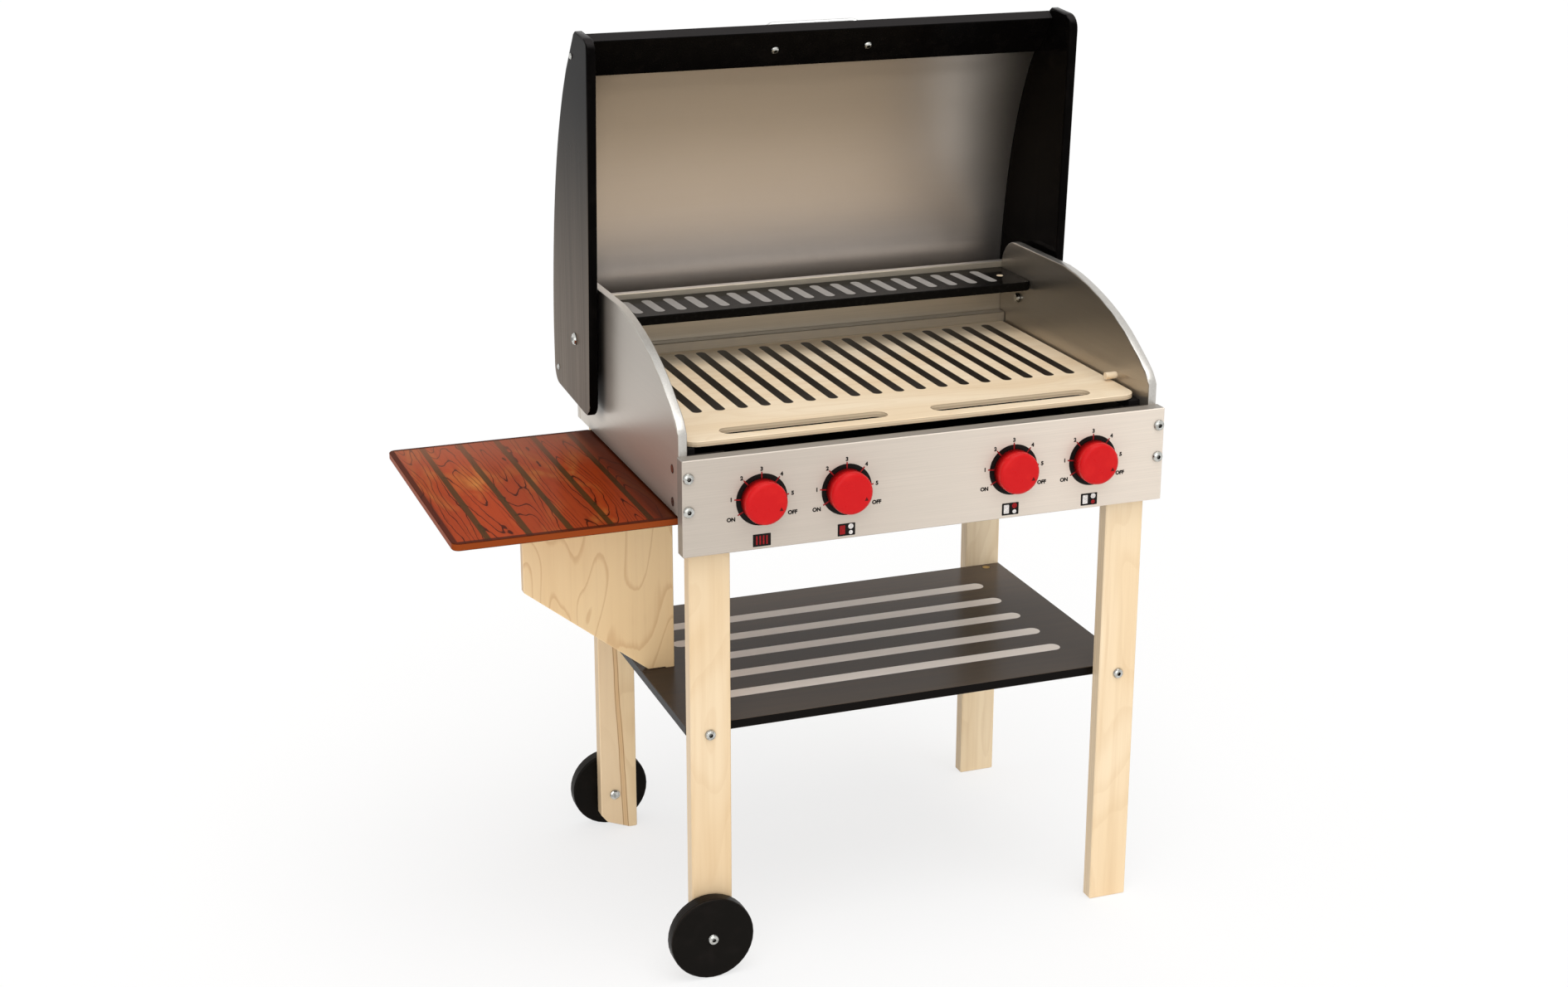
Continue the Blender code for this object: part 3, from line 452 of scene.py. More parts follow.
# The grate's print: dark bars on pale birch
grateBars = {
    "middle": 0.0874,
    "pitch": 0.0198,
    "count": 18,
    "wide": 0.0086,
    "low": -0.0575,
    "high": 0.1185,
    "blur": 0.00025,
    "ink": (0.010, 0.007, 0.005),
    "inkLight": (0.024, 0.017, 0.013),
    "inkLightFrom": (0.45, 0.75),
    "rough": (0.42, 0.32),  # wood and ink
    "gloss": 0.07,
    "step": 0.6,  # how far the ink stands up, against the fibres
    "bump": (0.2, 0.0002),
    "speckNoise": {"scale": 700.0, "detail": 2.0, "rough": 0.7},
}


def grateFinish(name, wood, spec):
    made, tree, shader, where = startFinish(name, spec["rough"][0], 0.0, spec["gloss"])
    colour, fibre, _ = birchColour(tree, where, wood, "X", "Z")
    at = placeOf(tree, where)
    inked = times(tree, bars(tree, at[0], at[1], spec), upward(tree, where))
    speck = mottle(tree, where, **spec["speckNoise"])
    light = between(tree, speck, *spec["inkLightFrom"])
    dark = mixColour(tree, light, spec["ink"], spec["inkLight"])
    feed(tree, shader.inputs["Base Color"], mixColour(tree, inked, colour, dark))
    feed(tree, shader.inputs["Roughness"], between(tree, inked, 0.0, 1.0, *spec["rough"]))
    height = plus(tree, fibre, times(tree, inked, spec["step"]))
    bump(tree, shader, height, *spec["bump"])
    return made


# The upper rack's print: pale bars on gloss black
rackBars = {
    "middle": 0.0809,
    "pitch": 0.0197,
    "count": 18,
    "wide": 0.0086,
    "low": 0.0860,
    "high": 0.1290,
    "blur": 0.00025,
    "slant": 0.045,
    "ground": (0.004, 0.0035, 0.003),
    "groundLight": (0.009, 0.008, 0.007),
    "groundLightFrom": (0.5, 0.8),
    "ink": (0.33, 0.315, 0.30),
    "rough": (0.10, 0.18),
    "gloss": 0.015,
    "bump": (0.3, 0.0001),
    "speckNoise": {"scale": 260.0, "detail": 3.0, "rough": 0.6},
}


def rackFinish(name, spec):
    made, tree, shader, where = startFinish(name, spec["rough"][0], 0.0, spec["gloss"])
    at = placeOf(tree, where)
    middleBack = (spec["low"] + spec["high"]) / 2
    lean = times(tree, minus(tree, at[1], middleBack), spec["slant"])
    inked = bars(tree, plus(tree, at[0], lean), at[1], spec)
    inked = times(tree, inked, upward(tree, where))
    speck = mottle(tree, where, **spec["speckNoise"])
    light = between(tree, speck, *spec["groundLightFrom"])
    ground = mixColour(tree, light, spec["ground"], spec["groundLight"])
    feed(tree, shader.inputs["Base Color"], mixColour(tree, inked, ground, spec["ink"]))
    feed(tree, shader.inputs["Roughness"], between(tree, speck, *wideRange, *spec["rough"]))
    bump(tree, shader, inked, *spec["bump"])
    return made


# The shelf's print: pale bars on dark brown
shelfBars = {
    "middle": -0.0039,
    "pitch": 0.0392,
    "count": 5,
    "wide": 0.0140,
    "low": -0.0761,
    "high": 0.2405,
    "blur": 0.00035,
    "ground": (0.066, 0.050, 0.038),
    "groundWarm": (0.075, 0.054, 0.039),
    "groundWarmFrom": (0.35, 0.75),
    "back": (0.00, 0.14, 1.0, 2.1),  # painted light: the ground is paler towards the back
    "edge": (0.004, 0.003, 0.0025),
    "ink": (0.96, 0.87, 0.79),
    "inkWarm": (0.88, 0.78, 0.70),
    "inkWarmFrom": (0.4, 0.8, 0.0, 0.4),
    "rough": (0.23, 0.27),
    "gloss": 0.06,
    "bump": (0.03, 0.0001),
    "grainNoise": {"scale": (6.0, 130.0, 130.0), "detail": 4.0, "rough": 0.65},
}


def shelfFinish(name, spec):
    made, tree, shader, where = startFinish(name, spec["rough"][0], 0.0, spec["gloss"])
    at = placeOf(tree, where)
    inked = times(tree, bars(tree, at[1], at[0], spec), upward(tree, where))
    grain = mottle(tree, where, **spec["grainNoise"])
    warm = between(tree, grain, *spec["groundWarmFrom"])
    ground = mixColour(tree, warm, spec["ground"], spec["groundWarm"])
    # painted light: paler towards the back
    ground = shade(tree, ground, between(tree, at[1], *spec["back"]))
    warm = between(tree, grain, *spec["inkWarmFrom"])
    ink = mixColour(tree, warm, spec["ink"], spec["inkWarm"])
    top = mixColour(tree, inked, ground, ink)
    face = facing(tree, where, "Z")
    feed(tree, shader.inputs["Base Color"], mixColour(tree, face, spec["edge"], top))
    feed(tree, shader.inputs["Roughness"], between(tree, grain, *wideRange, *spec["rough"]))
    bump(tree, shader, grain, *spec["bump"])
    return made


# The side table's print: red-brown planks with dark gaps and drawn grain
planks = {
    "firstGap": -0.2760,
    "pitch": 0.0325,
    "gapWide": 0.0052,
    "gapSoft": 0.0004,
    "gapTone": 0.9,
    "ragged": 0.0012,  # how far the edges stray
    "border": 0.0052,
    "borderPlain": 0.75,  # of its width, at full tone
    "borderTone": 0.9,
    "red": (0.385, 0.052, 0.012),
    "orange": (0.57, 0.25, 0.055),
    "orangeFrom": (0.48, 0.84),
    "plum": (0.23, 0.038, 0.012),
    "plumTone": 0.55,
    "gap": (0.060, 0.032, 0.009),
    "line": (0.026, 0.006, 0.003),
    "rim": (0.060, 0.012, 0.005),
    "side": (0.26, 0.052, 0.012),
    "lines": 19.0,
    "lineWide": 0.075,
    "linePlain": 0.4,
    "lineTone": 0.85,
    "beside": (0.30, 0.02),  # the wood darkens towards a line
    "besideTone": 0.25,
    "tremble": 0.55,
    "fibreFrom": (0.5, 0.8, 0.0, 0.35),
    "panelShadowBand": (-0.150, -0.135),
    "panelShadowTone": 0.85,
    "inward": (-0.24, -0.13, 1.0, 0.56),  # painted shade: the board darkens towards the box
    "backSheen": (0.38, 0.17, 0.11),  # painted sheen: a paler, duller tone towards the back
    "back": (0.0, 0.12, 0.0, 0.40),
    "rough": (0.16, 0.26),
    "roughFrom": (0.3, 0.8),
    "gloss": 0.005,
    "bump": (0.06, 0.0001),
    "plankShift": (3.7, 1.3),  # of the grain, from each plank to the next
    "swirlScale": (30.0, 3.4, 1.0),
    "swirlNoise": {"detail": 1.2, "rough": 0.4, "twist": 0.35},
    "cloudNoise": {"scale": (28.0, 9.0, 28.0), "detail": 3.0, "rough": 0.6, "twist": 0.5,
                   "shift": (7.7, 0.3, 0)},
    "trembleNoise": {"scale": (120.0, 60.0, 120.0), "detail": 1.5, "rough": 0.5},
    "fibreNoise": {"scale": (420.0, 14.0, 420.0), "detail": 3.0, "rough": 0.6},
}


def plankGrain(tree, where, plank, spec):
    # each plank has its own piece of grain
    shift = newNode(tree, "ShaderNodeCombineXYZ")
    for axis, step in enumerate(spec["plankShift"]):
        feed(tree, shift.inputs[axis], times(tree, plank, step))
    spot = newNode(tree, "ShaderNodeVectorMath", operation="ADD")
    feed(tree, spot.inputs[0], stretched(tree, where, spec["swirlScale"]))
    feed(tree, spot.inputs[1], shift.outputs[0])
    return noise(tree, spot.outputs[0], **spec["swirlNoise"])


def tableFinish(name, spec):
    made, tree, shader, where = startFinish(name, spec["rough"][0], 0.0, spec["gloss"])
    low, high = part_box("side_table")
    at = placeOf(tree, where)
    pitch = spec["pitch"]
    offset = minus(tree, at[0], spec["firstGap"] - pitch)
    plank = calc(tree, "FLOOR", calc(tree, "DIVIDE", offset, pitch))
    tone = newNode(tree, "ShaderNodeTexWhiteNoise", noise_dimensions="1D")
    feed(tree, tone.inputs["W"], plank)
    swirl = plankGrain(tree, where, plank, spec)
    cloud = mottle(tree, where, **spec["cloudNoise"])
    wood = mixColour(tree, between(tree, cloud, *spec["orangeFrom"]), spec["red"], spec["orange"])
    own = times(tree, tone.outputs["Value"], spec["plumTone"])
    wood = mixColour(tree, own, wood, spec["plum"])
    # drawn lines of grain
    tremble = mottle(tree, where, **spec["trembleNoise"])
    ring = plus(tree, times(tree, swirl, spec["lines"]), times(tree, tremble, spec["tremble"]))
    ring = calc(tree, "PINGPONG", ring, 0.5)
    line = between(tree, ring, spec["lineWide"], spec["lineWide"] * spec["linePlain"])
    beside = times(tree, between(tree, ring, *spec["beside"]), spec["besideTone"])
    wood = mixColour(tree, beside, wood, spec["plum"])
    wood = mixColour(tree, times(tree, line, spec["lineTone"]), wood, spec["line"])
    fibre = mottle(tree, where, **spec["fibreNoise"])
    wood = mixColour(tree, between(tree, fibre, *spec["fibreFrom"]), wood, spec["line"])
    # gaps between the planks
    near = minus(tree, at[0], spec["firstGap"])
    near = calc(tree, "WRAP", near, pitch / 2, -pitch / 2)
    ragged = times(tree, minus(tree, fibre, 0.5), spec["ragged"])
    apart = plus(tree, calc(tree, "ABSOLUTE", near), ragged)
    half, soft = spec["gapWide"] / 2, spec["gapSoft"]
    gap = between(tree, apart, half - soft, half + soft, 1.0, 0.0)
    wood = mixColour(tree, times(tree, gap, spec["gapTone"]), wood, spec["gap"])
    # painted shadow: a dark band on the board along the side panel, in the rim colour
    panelShadow = between(tree, plus(tree, at[0], ragged), *spec["panelShadowBand"])
    # painted shade towards the box
    wood = shade(tree, wood, between(tree, at[0], *spec["inward"]))
    # painted sheen towards the back
    wood = mixColour(tree, between(tree, at[1], *spec["back"]), wood, spec["backSheen"])
    wood = mixColour(tree, times(tree, panelShadow, spec["panelShadowTone"]), wood, spec["rim"])
    # a dark rim along the three free edges
    rim = minus(tree, at[0], low.x)
    rim = calc(tree, "MINIMUM", rim, minus(tree, at[1], low.y))
    rim = calc(tree, "MINIMUM", rim, minus(tree, high.y, at[1]))
    rim = between(tree, plus(tree, rim, ragged), spec["border"] * spec["borderPlain"],
                  spec["border"], spec["borderTone"], 0.0)
    wood = mixColour(tree, rim, wood, spec["rim"])
    face = facing(tree, where, "Z")
    feed(tree, shader.inputs["Base Color"], mixColour(tree, face, spec["side"], wood))
    rough = between(tree, fibre, *spec["roughFrom"], *spec["rough"])
    feed(tree, shader.inputs["Roughness"], rough)
    bump(tree, shader, fibre, *spec["bump"])
    return made


# Boards faced with a brushed metal sheet.
# the tone ramp, painted light and shade along one axis: the axis, its two ends, and the tone at
# each
# contact shade, painted: how far from a neighbour the sheet is darkened, and the darkest tone
# outside: the tone of the sheet's back face
# facing: the least part of a normal that counts as the sheet's face
brushed = {
    "panel": {"face": (0.66, 0.585, 0.505), "edge": (0.30, 0.27, 0.235), "along": "X",
              "through": "Y", "metal": 0.30, "rough": 0.38, "marks": 0.045,
              "paintedShadeFade": ("X", -0.128, 0.290, 0.78, 1.10)},
    "left": {"face": (0.50, 0.455, 0.395), "edge": (0.56, 0.54, 0.505), "along": "Y",
             "through": "X", "metal": 0.60, "rough": 0.32, "marks": 0.04,
             "paintedShadeFade": ("Z", 0.40, 0.53, 1.22, 0.76), "paintedContactShade": (0.014, 0.35)},
    "right": {"face": (0.50, 0.45, 0.385), "edge": (0.56, 0.54, 0.505), "along": "Y",
              "through": "X", "metal": 0.85, "rough": 0.30, "marks": 0.04,
              "paintedShadeFade": ("Z", 0.42, 0.53, 1.05, 0.45)},
    "back": {"face": (0.52, 0.455, 0.36), "edge": (0.60, 0.56, 0.51), "along": "X",
             "through": "Y", "metal": 0.70, "rough": 0.34, "marks": 0.05,
             "paintedShadeFade": ("X", -0.12, 0.28, 1.0, 0.92)},
    "lid": {"face": (0.67, 0.61, 0.545), "edge": (0.45, 0.41, 0.36), "along": "X",
            "through": "Y", "metal": 0.94, "rough": 0.33, "marks": 0.008,
            "paintedShadeFade": ("Z", 0.47, 0.70, 1.49, 0.82), "paintedContactShade": (0.045, 0.45),
            "paintedReflectionTint": (1.0, 1.0, 1.035), "outside": 0.66, "facing": 0.3, "bump": 0.002},
}
brushing = {
    "gloss": 0.5,
    "bump": 0.02,
    "bumpDeep": 0.0001,
    "roughSpread": (-0.02, 0.03),
    "bandsFrom": (0.3, 0.7, 0.0, 0.4),
    "cloudFrom": (0.35, 0.75, 0.0, 0.3),
    "outsideTurn": (-0.1, 0.1),
    "contactFrom": (0.45, 0.97),
    "edgeFrom": (0.3, 0.75),
    "edgeDark": 0.86,
    "marksNoise": {"across": 1000.0, "along": 10.0, "detail": 3.0, "rough": 0.7},
    "bandsNoise": {"across": 210.0, "along": 3.0, "detail": 2.0, "rough": 0.5,
                   "shift": (2.2, 0.9, 4.1)},
    "cloudNoise": {"scale": 9.0, "detail": 2.0, "rough": 0.5},
}
contactSamples = 12


def brushedFinish(name, spec):
    made, tree, shader, where = startFinish(name, spec["rough"], spec["metal"], brushing["gloss"])
    marks = grained(tree, where, spec["along"], **brushing["marksNoise"])
    bands = grained(tree, where, spec["along"], **brushing["bandsNoise"])
    cloud = mottle(tree, where, **brushing["cloudNoise"])
    low, high = tuned(spec["face"], 1 - spec["marks"]), tuned(spec["face"], 1 + spec["marks"])
    face = mixColour(tree, between(tree, marks, *middleRange), low, high)
    face = mixColour(tree, between(tree, bands, *brushing["bandsFrom"]), face, low)
    face = mixColour(tree, between(tree, cloud, *brushing["cloudFrom"]), face, low)
    # painted light and shade: the face is made lighter or darker along one axis
    axis, start, end, startTone, endTone = spec["paintedShadeFade"]
    at = placeOf(tree, where)["XYZ".index(axis)]
    face = shade(tree, face, between(tree, at, start, end, startTone, endTone))
    # painted reflection: the low part of the sheet is tinted cooler, along the same ramp
    if "paintedReflectionTint" in spec:
        paintedReflectionTint = between(tree, at, start, end, 1.0, 0.0)
        face = mixColour(tree, paintedReflectionTint, face, spec["paintedReflectionTint"], "MULTIPLY")
    if "outside" in spec:
        back = normalOf(tree, where)[1]
        outside = between(tree, back, *brushing["outsideTurn"], 1.0, spec["outside"])
        face = shade(tree, face, outside)
    # painted shade: the sheet darkens where another face is near
    if "paintedContactShade" in spec:
        reach, darkest = spec["paintedContactShade"]
        near = openness(tree, reach, contactSamples)
        face = shade(tree, face, between(tree, near, *brushing["contactFrom"], darkest, 1.0))
    edge = mixColour(tree, between(tree, marks, *brushing["edgeFrom"]),
                     tuned(spec["edge"], brushing["edgeDark"]), spec["edge"])
    faced = facing(tree, where, spec["through"], spec.get("facing", facingLeast))
    feed(tree, shader.inputs["Base Color"], mixColour(tree, faced, edge, face))
    spread = [spec["rough"] + part for part in brushing["roughSpread"]]
    feed(tree, shader.inputs["Roughness"], between(tree, marks, *wideRange, *spread))
    bump(tree, shader, marks, spec.get("bump", brushing["bump"]), brushing["bumpDeep"])
    return made


# Painted finishes
# foot: a painted reflection, the paler tone low on the outward faces, fading out between two
# given heights
# contact shade, painted: how far from a neighbour the paint is darkened, and the darkest tone
# layer: the height of one light and one dark layer of the board under the paint
# top: painted light, the paler tone on upward faces
lacquer = {"colour": (0.002, 0.0017, 0.0016), "wearAndReflection": (0.005, 0.004, 0.0035), "rough": 0.17,
           "gloss": 0.03, "foot": (0.060, 0.043, 0.030), "footReflectionFrom": (0.70, 0.42),
           "top": (0.024, 0.022, 0.022)}
paints = {
    "lacquer": lacquer,
    "boards": dict(lacquer, gloss=0.012, foot=(0.190, 0.155, 0.122), footReflectionFrom=(0.72, 0.42)),
    "tray": {"colour": (0.006, 0.005, 0.005), "wearAndReflection": (0.014, 0.012, 0.011), "rough": 0.70,
             "gloss": 0.1},
    "wheel": {"colour": (0.0045, 0.0035, 0.0025), "wearAndReflection": (0.008, 0.006, 0.005), "rough": 0.38,
              "gloss": 0.07, "layer": 0.0026, "layerTone": (0.030, 0.020, 0.014)},
    "red": {"colour": (0.56, 0.006, 0.008), "wearAndReflection": (0.63, 0.013, 0.012), "rough": 0.30,
            "gloss": 0.14, "paintedContactShade": (0.012, 0.45)},
}
painting = {
    "wornFrom": (0.45, 0.85),
    "lidMiddle": 0.0809,
    "outward": 0.19,  # how far from the lid's middle a face counts as outward
    "streakFrom": (0.3, 0.7, 0.72, 1.0),
    "topLightFrom": (0.35, 0.8),
    "contactFrom": (0.35, 0.95),
    "layerTurn": (0.30, 0.48),
    "layerWaver": 0.0008,
    "layerShare": 0.7,
    "roughSpread": (0.8, 1.25),
    "bump": (0.08, 0.0001),
    "cloudNoise": {"scale": 70.0, "detail": 4.0, "rough": 0.6},
    "peelNoise": {"scale": 420.0, "detail": 2.0, "rough": 0.5},
    "streakNoise": {"scale": (10.0, 330.0, 4.0), "detail": 3.0, "rough": 0.65},
    "layerNoise": {"scale": (300.0, 900.0, 300.0), "detail": 2.0, "rough": 0.6},
}


def footReflectionShare(tree, where, spec):
    # 1 low on the lid's outward faces, in soft upright streaks: where a reflection is painted
    at = placeOf(tree, where)
    out = times(tree, minus(tree, at[0], painting["lidMiddle"]), normalOf(tree, where)[0])
    wearAndReflection = times(tree, calc(tree, "GREATER_THAN", out, painting["outward"]),
                 between(tree, at[2], *spec["footReflectionFrom"]))
    streak = mottle(tree, where, **painting["streakNoise"])
    return times(tree, wearAndReflection, between(tree, streak, *painting["streakFrom"]))


def rimLayers(tree, where, spec):
    # 1 on the dark layers of a wheel's rim
    at = placeOf(tree, where)
    fibre = mottle(tree, where, **painting["layerNoise"])
    wave = plus(tree, at[1], times(tree, fibre, painting["layerWaver"]))
    wave = calc(tree, "PINGPONG", wave, spec["layer"] / 2)
    rim = minus(tree, 1.0, facing(tree, where, "Y"))
    turn = [spec["layer"] * share for share in painting["layerTurn"]]
    return times(tree, between(tree, wave, *turn), rim)


def paintFinish(name, spec):
    made, tree, shader, where = startFinish(name, spec["rough"], 0.0, spec["gloss"])
    cloud = mottle(tree, where, **painting["cloudNoise"])
    peel = mottle(tree, where, **painting["peelNoise"])
    wearAndReflection = between(tree, cloud, *painting["wornFrom"])
    colour = mixColour(tree, wearAndReflection, spec["colour"], spec["wearAndReflection"])
    # painted reflection: a paler tone low on the lid's outward faces
    if "foot" in spec:
        colour = mixColour(tree, footReflectionShare(tree, where, spec), colour, spec["foot"])
    # painted light: upward faces are paler, as if lit from above
    if "top" in spec:
        up = between(tree, normalOf(tree, where)[2], *painting["topLightFrom"])
        colour = mixColour(tree, up, colour, spec["top"])
    # painted shade: the paint darkens where another face is near, as at a knob's foot
    if "paintedContactShade" in spec:
        reach, darkest = spec["paintedContactShade"]
        near = openness(tree, reach, contactSamples)
        colour = shade(tree, colour, between(tree, near, *painting["contactFrom"], darkest, 1.0))
    if "layer" in spec:
        line = times(tree, rimLayers(tree, where, spec), painting["layerShare"])
        colour = mixColour(tree, line, colour, spec["layerTone"])
    feed(tree, shader.inputs["Base Color"], colour)
    spread = [spec["rough"] * share for share in painting["roughSpread"]]
    feed(tree, shader.inputs["Roughness"], between(tree, cloud, *wideRange, *spread))
    bump(tree, shader, peel, *painting["bump"])
    return made


# Plated metal, with painted shade in its sockets and seams
plating = {
    "zinc": {"colour": (0.60, 0.60, 0.57), "shade": (0.30, 0.30, 0.28), "rough": 0.18,
             "socketShade": (0.030, 0.028, 0.024)},
    "brass": {"colour": (0.62, 0.46, 0.20), "shade": (0.38, 0.26, 0.11), "rough": 0.28,
              "socketShade": (0.040, 0.028, 0.012)},
    "silver": {"colour": (0.76, 0.76, 0.75), "shade": (0.58, 0.58, 0.57), "rough": 0.20,
               "socketShade": (0.20, 0.20, 0.20)},
}
metalwork = {
    "gloss": 0.5,
    "hollow": 0.0028,  # how close the walls of a socket are
    "hollowSamples": 8,
    "socketShadeFrom": (0.45, 0.95),
    "shadeFrom": (0.35, 0.75),
    "roughSpread": (0.7, 1.4),
    "bump": (0.10, 0.0001),
    "cloudNoise": {"scale": 380.0, "detail": 4.0, "rough": 0.6},
}


def platedFinish(name, spec):
    made, tree, shader, where = startFinish(name, spec["rough"], 1.0, metalwork["gloss"])
    cloud = mottle(tree, where, **metalwork["cloudNoise"])
    dull = between(tree, cloud, *metalwork["shadeFrom"])
    colour = mixColour(tree, dull, spec["colour"], spec["shade"])
    # painted shade: darker where the walls of a socket or seam are close
    hollow = openness(tree, metalwork["hollow"], metalwork["hollowSamples"])
    unshaded = between(tree, hollow, *metalwork["socketShadeFrom"])
    feed(tree, shader.inputs["Base Color"], mixColour(tree, unshaded, spec["socketShade"], colour))
    spread = [spec["rough"] * share for share in metalwork["roughSpread"]]
    feed(tree, shader.inputs["Roughness"], between(tree, cloud, *wideRange, *spread))
    bump(tree, shader, cloud, *metalwork["bump"])
    return made


knobNames = [f"knob_{number}" for number in range(1, 5)]


def dress(finish, *names):
    for name in names:
        mesh = nodes[name].data
        mesh.materials.clear()
        mesh.materials.append(finish)


def starting(*heads):
    return [name for name in nodes if name.startswith(heads)]


def dressNodes():
    # paler birch copies: painted light on the legs and bracket that stand in shade
    dress(birchFinish("birchLegPaintedLight", rearLegPaintedLightBirch, "Z", "Y"), "rear_right_leg")
    dress(birchFinish("birchLegLeft", birch, "Z", "Y"), "front_left_leg")
    dress(birchFinish("birchLegRight", frontLegPaintedLightBirch, "Z", "Y"), "front_right_leg")
    dress(heartLegFinish("birchLegHeart", heartBirch, heartwood), "rear_left_leg")
    dress(birchFinish("birchBracket", bracketBirch, "Z", "Y"), "table_bracket")
    dress(birchFinish("beechDowel", dowelBirch, "X", "Y"), *starting("grate_peg", "rack_dowel"))
    dress(grateFinish("grateBirch", grateBirch, grateBars), "grate")
    dress(rackFinish("rackGloss", rackBars), "upper_rack")
    dress(shelfFinish("shelfBrown", shelfBars), "lower_shelf")
    dress(tableFinish("tablePlanks", planks), "side_table")
    dress(brushedFinish("panelFace", brushed["panel"]), "front_panel")
    dress(brushedFinish("leftSideFace", brushed["left"]), "left_side_panel")
    dress(brushedFinish("rightSideFace", brushed["right"]), "right_side_panel")
    dress(brushedFinish("backFace", brushed["back"]), "back_panel", "rear_rail")
    dress(brushedFinish("lidSheet", brushed["lid"]), "lid_skin")
    dress(paintFinish("blackLacquer", paints["lacquer"]), "lid_top_bar", "lid_rear_bar")
    dress(paintFinish("blackBoards", paints["boards"]), "lid_left_side", "lid_right_side")
    dress(paintFinish("trayBlack", paints["tray"]), "burner_tray", *starting("grate_runner"))
    dress(paintFinish("wheelBlack", paints["wheel"]), "front_wheel", "rear_wheel")
    dress(paintFinish("knobRed", paints["red"]), *knobNames)
    dress(platedFinish("zincPlate", plating["zinc"]),
          *starting("panel_bolt", "panel_nut", "shelf_bolt", "hinge_bolt", "lid_screw",
                    "handle_screw", "front_wheel_axle", "rear_wheel_axle"))
    dress(platedFinish("brassPlate", plating["brass"]), *starting("shelf_nut"))
    dress(platedFinish("handleSilver", plating["silver"]), "lid_handle")


# Curved pieces whose facets would show get a smooth copy in the same place
curved = {
    "lid": ("lid_left_side", "lid_right_side", "lid_handle"),
    "frame": ("left_side_panel", "right_side_panel"),
    **{name: (name,) for name in ("front_wheel", "rear_wheel", *knobNames)},
}
plainSmooth = ("lid_handle",)
curveAngle = math.radians(32)
sheetSteps = 8  # strips of the bent sheet to each facet of its node
weld = 0.000002
capDeep = 0.00001


def smoothFaces(mesh):
    mesh.shade_smooth()
    mesh.set_sharp_from_angle(angle=curveAngle)


def smoothCurves():
    for body, names in curved.items():
        for name in names:
            mesh = nodes[name].data.copy()
            mesh.name = "smooth_" + name
            bm = bmesh.new()
            bm.from_mesh(mesh)
            bmesh.ops.remove_doubles(bm, verts=bm.verts, dist=weld)
            bm.to_mesh(mesh)
            bm.free()
            smoothFaces(mesh)
            made = newObject("smooth_" + name, mesh)
            if name not in plainSmooth:
                # flat faces stay flat beside the rounded ones
                made.modifiers.new("evenNormals", "WEIGHTED_NORMAL").keep_sharp = True
            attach(made, body)
            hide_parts(name)


def newPiece(name, bm, inks):
    bmesh.ops.recalc_face_normals(bm, faces=bm.faces)
    mesh = bpy.data.meshes.new(name)
    bm.to_mesh(mesh)
    bm.free()
    for ink in inks:
        mesh.materials.append(ink)
    return newObject(name, mesh)


def bridge(bm, near, far):
    # two outlines of vertices closed into a prism
    made = [bm.faces.new(near), bm.faces.new(far[::-1])]
    for k in range(len(near)):
        j = (k + 1) % len(near)
        made.append(bm.faces.new((near[j], near[k], far[k], far[j])))
    return made


def endOutline(mesh):
    # the closed outline in Y and Z of a piece that is the same all along X
    bm = bmesh.new()
    bm.from_mesh(mesh)
    bmesh.ops.remove_doubles(bm, verts=bm.verts, dist=weld)
    deep = min(vert.co.x for vert in bm.verts) + capDeep
    cap = {face for face in bm.faces if all(vert.co.x < deep for vert in face.verts)}
    rim = [edge for edge in bm.edges if sum(face in cap for face in edge.link_faces) == 1]
    beside = {}
    for edge in rim:
        one, two = edge.verts
        beside.setdefault(one, []).append(two)
        beside.setdefault(two, []).append(one)
    start = rim[0].verts[0]
    walk = [start, beside[start][0]]
    while walk[-1] is not start:
        walk.append(next(vert for vert in beside[walk[-1]] if vert is not walk[-2]))
    outline = [Vector((vert.co.y, vert.co.z)) for vert in walk[:-1]]
    bm.free()
    return outline


def slope(way, beside):
    # the curve's direction where two stretches of the outline meet
    size, near = way.length, beside.length
    return (way / size * near + beside / near * size) / (near + size) * size


def finerOutline(outline, steps):
    # corners stay, and a cubic runs through the points between them
    count = len(outline)
    way = [outline[(k + 1) % count] - outline[k] for k in range(count)]
    corner = [way[k - 1].angle(way[k]) > curveAngle for k in range(count)]
    made = []
    for k in range(count):
        j = (k + 1) % count
        start, end = outline[k], outline[j]
        if corner[k] and corner[j]:
            made.append(start)
            continue
        leave = way[k] if corner[k] else slope(way[k], way[k - 1])
        reach = way[k] if corner[j] else slope(way[k], way[j])
        for step in range(steps):
            t = step / steps
            made.append(start * (2 * t**3 - 3 * t**2 + 1) + leave * (t**3 - 2 * t**2 + t)
                        + end * (3 * t**2 - 2 * t**3) + reach * (t**3 - t**2))
    return made


def makeSheet():
    source = nodes["lid_skin"].data
    low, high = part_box("lid_skin")
    outline = finerOutline(endOutline(source), sheetSteps)
    bm = bmesh.new()
    bridge(bm, *[[bm.verts.new((x, point.x, point.y)) for point in outline]
                 for x in (low.x, high.x)])
    made = newPiece("smooth_lid_skin", bm, [source.materials[0]])
    smoothFaces(made.data)
    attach(made, "lid")
    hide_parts("lid_skin")
    print("sheet outline:", len(outline), "points")


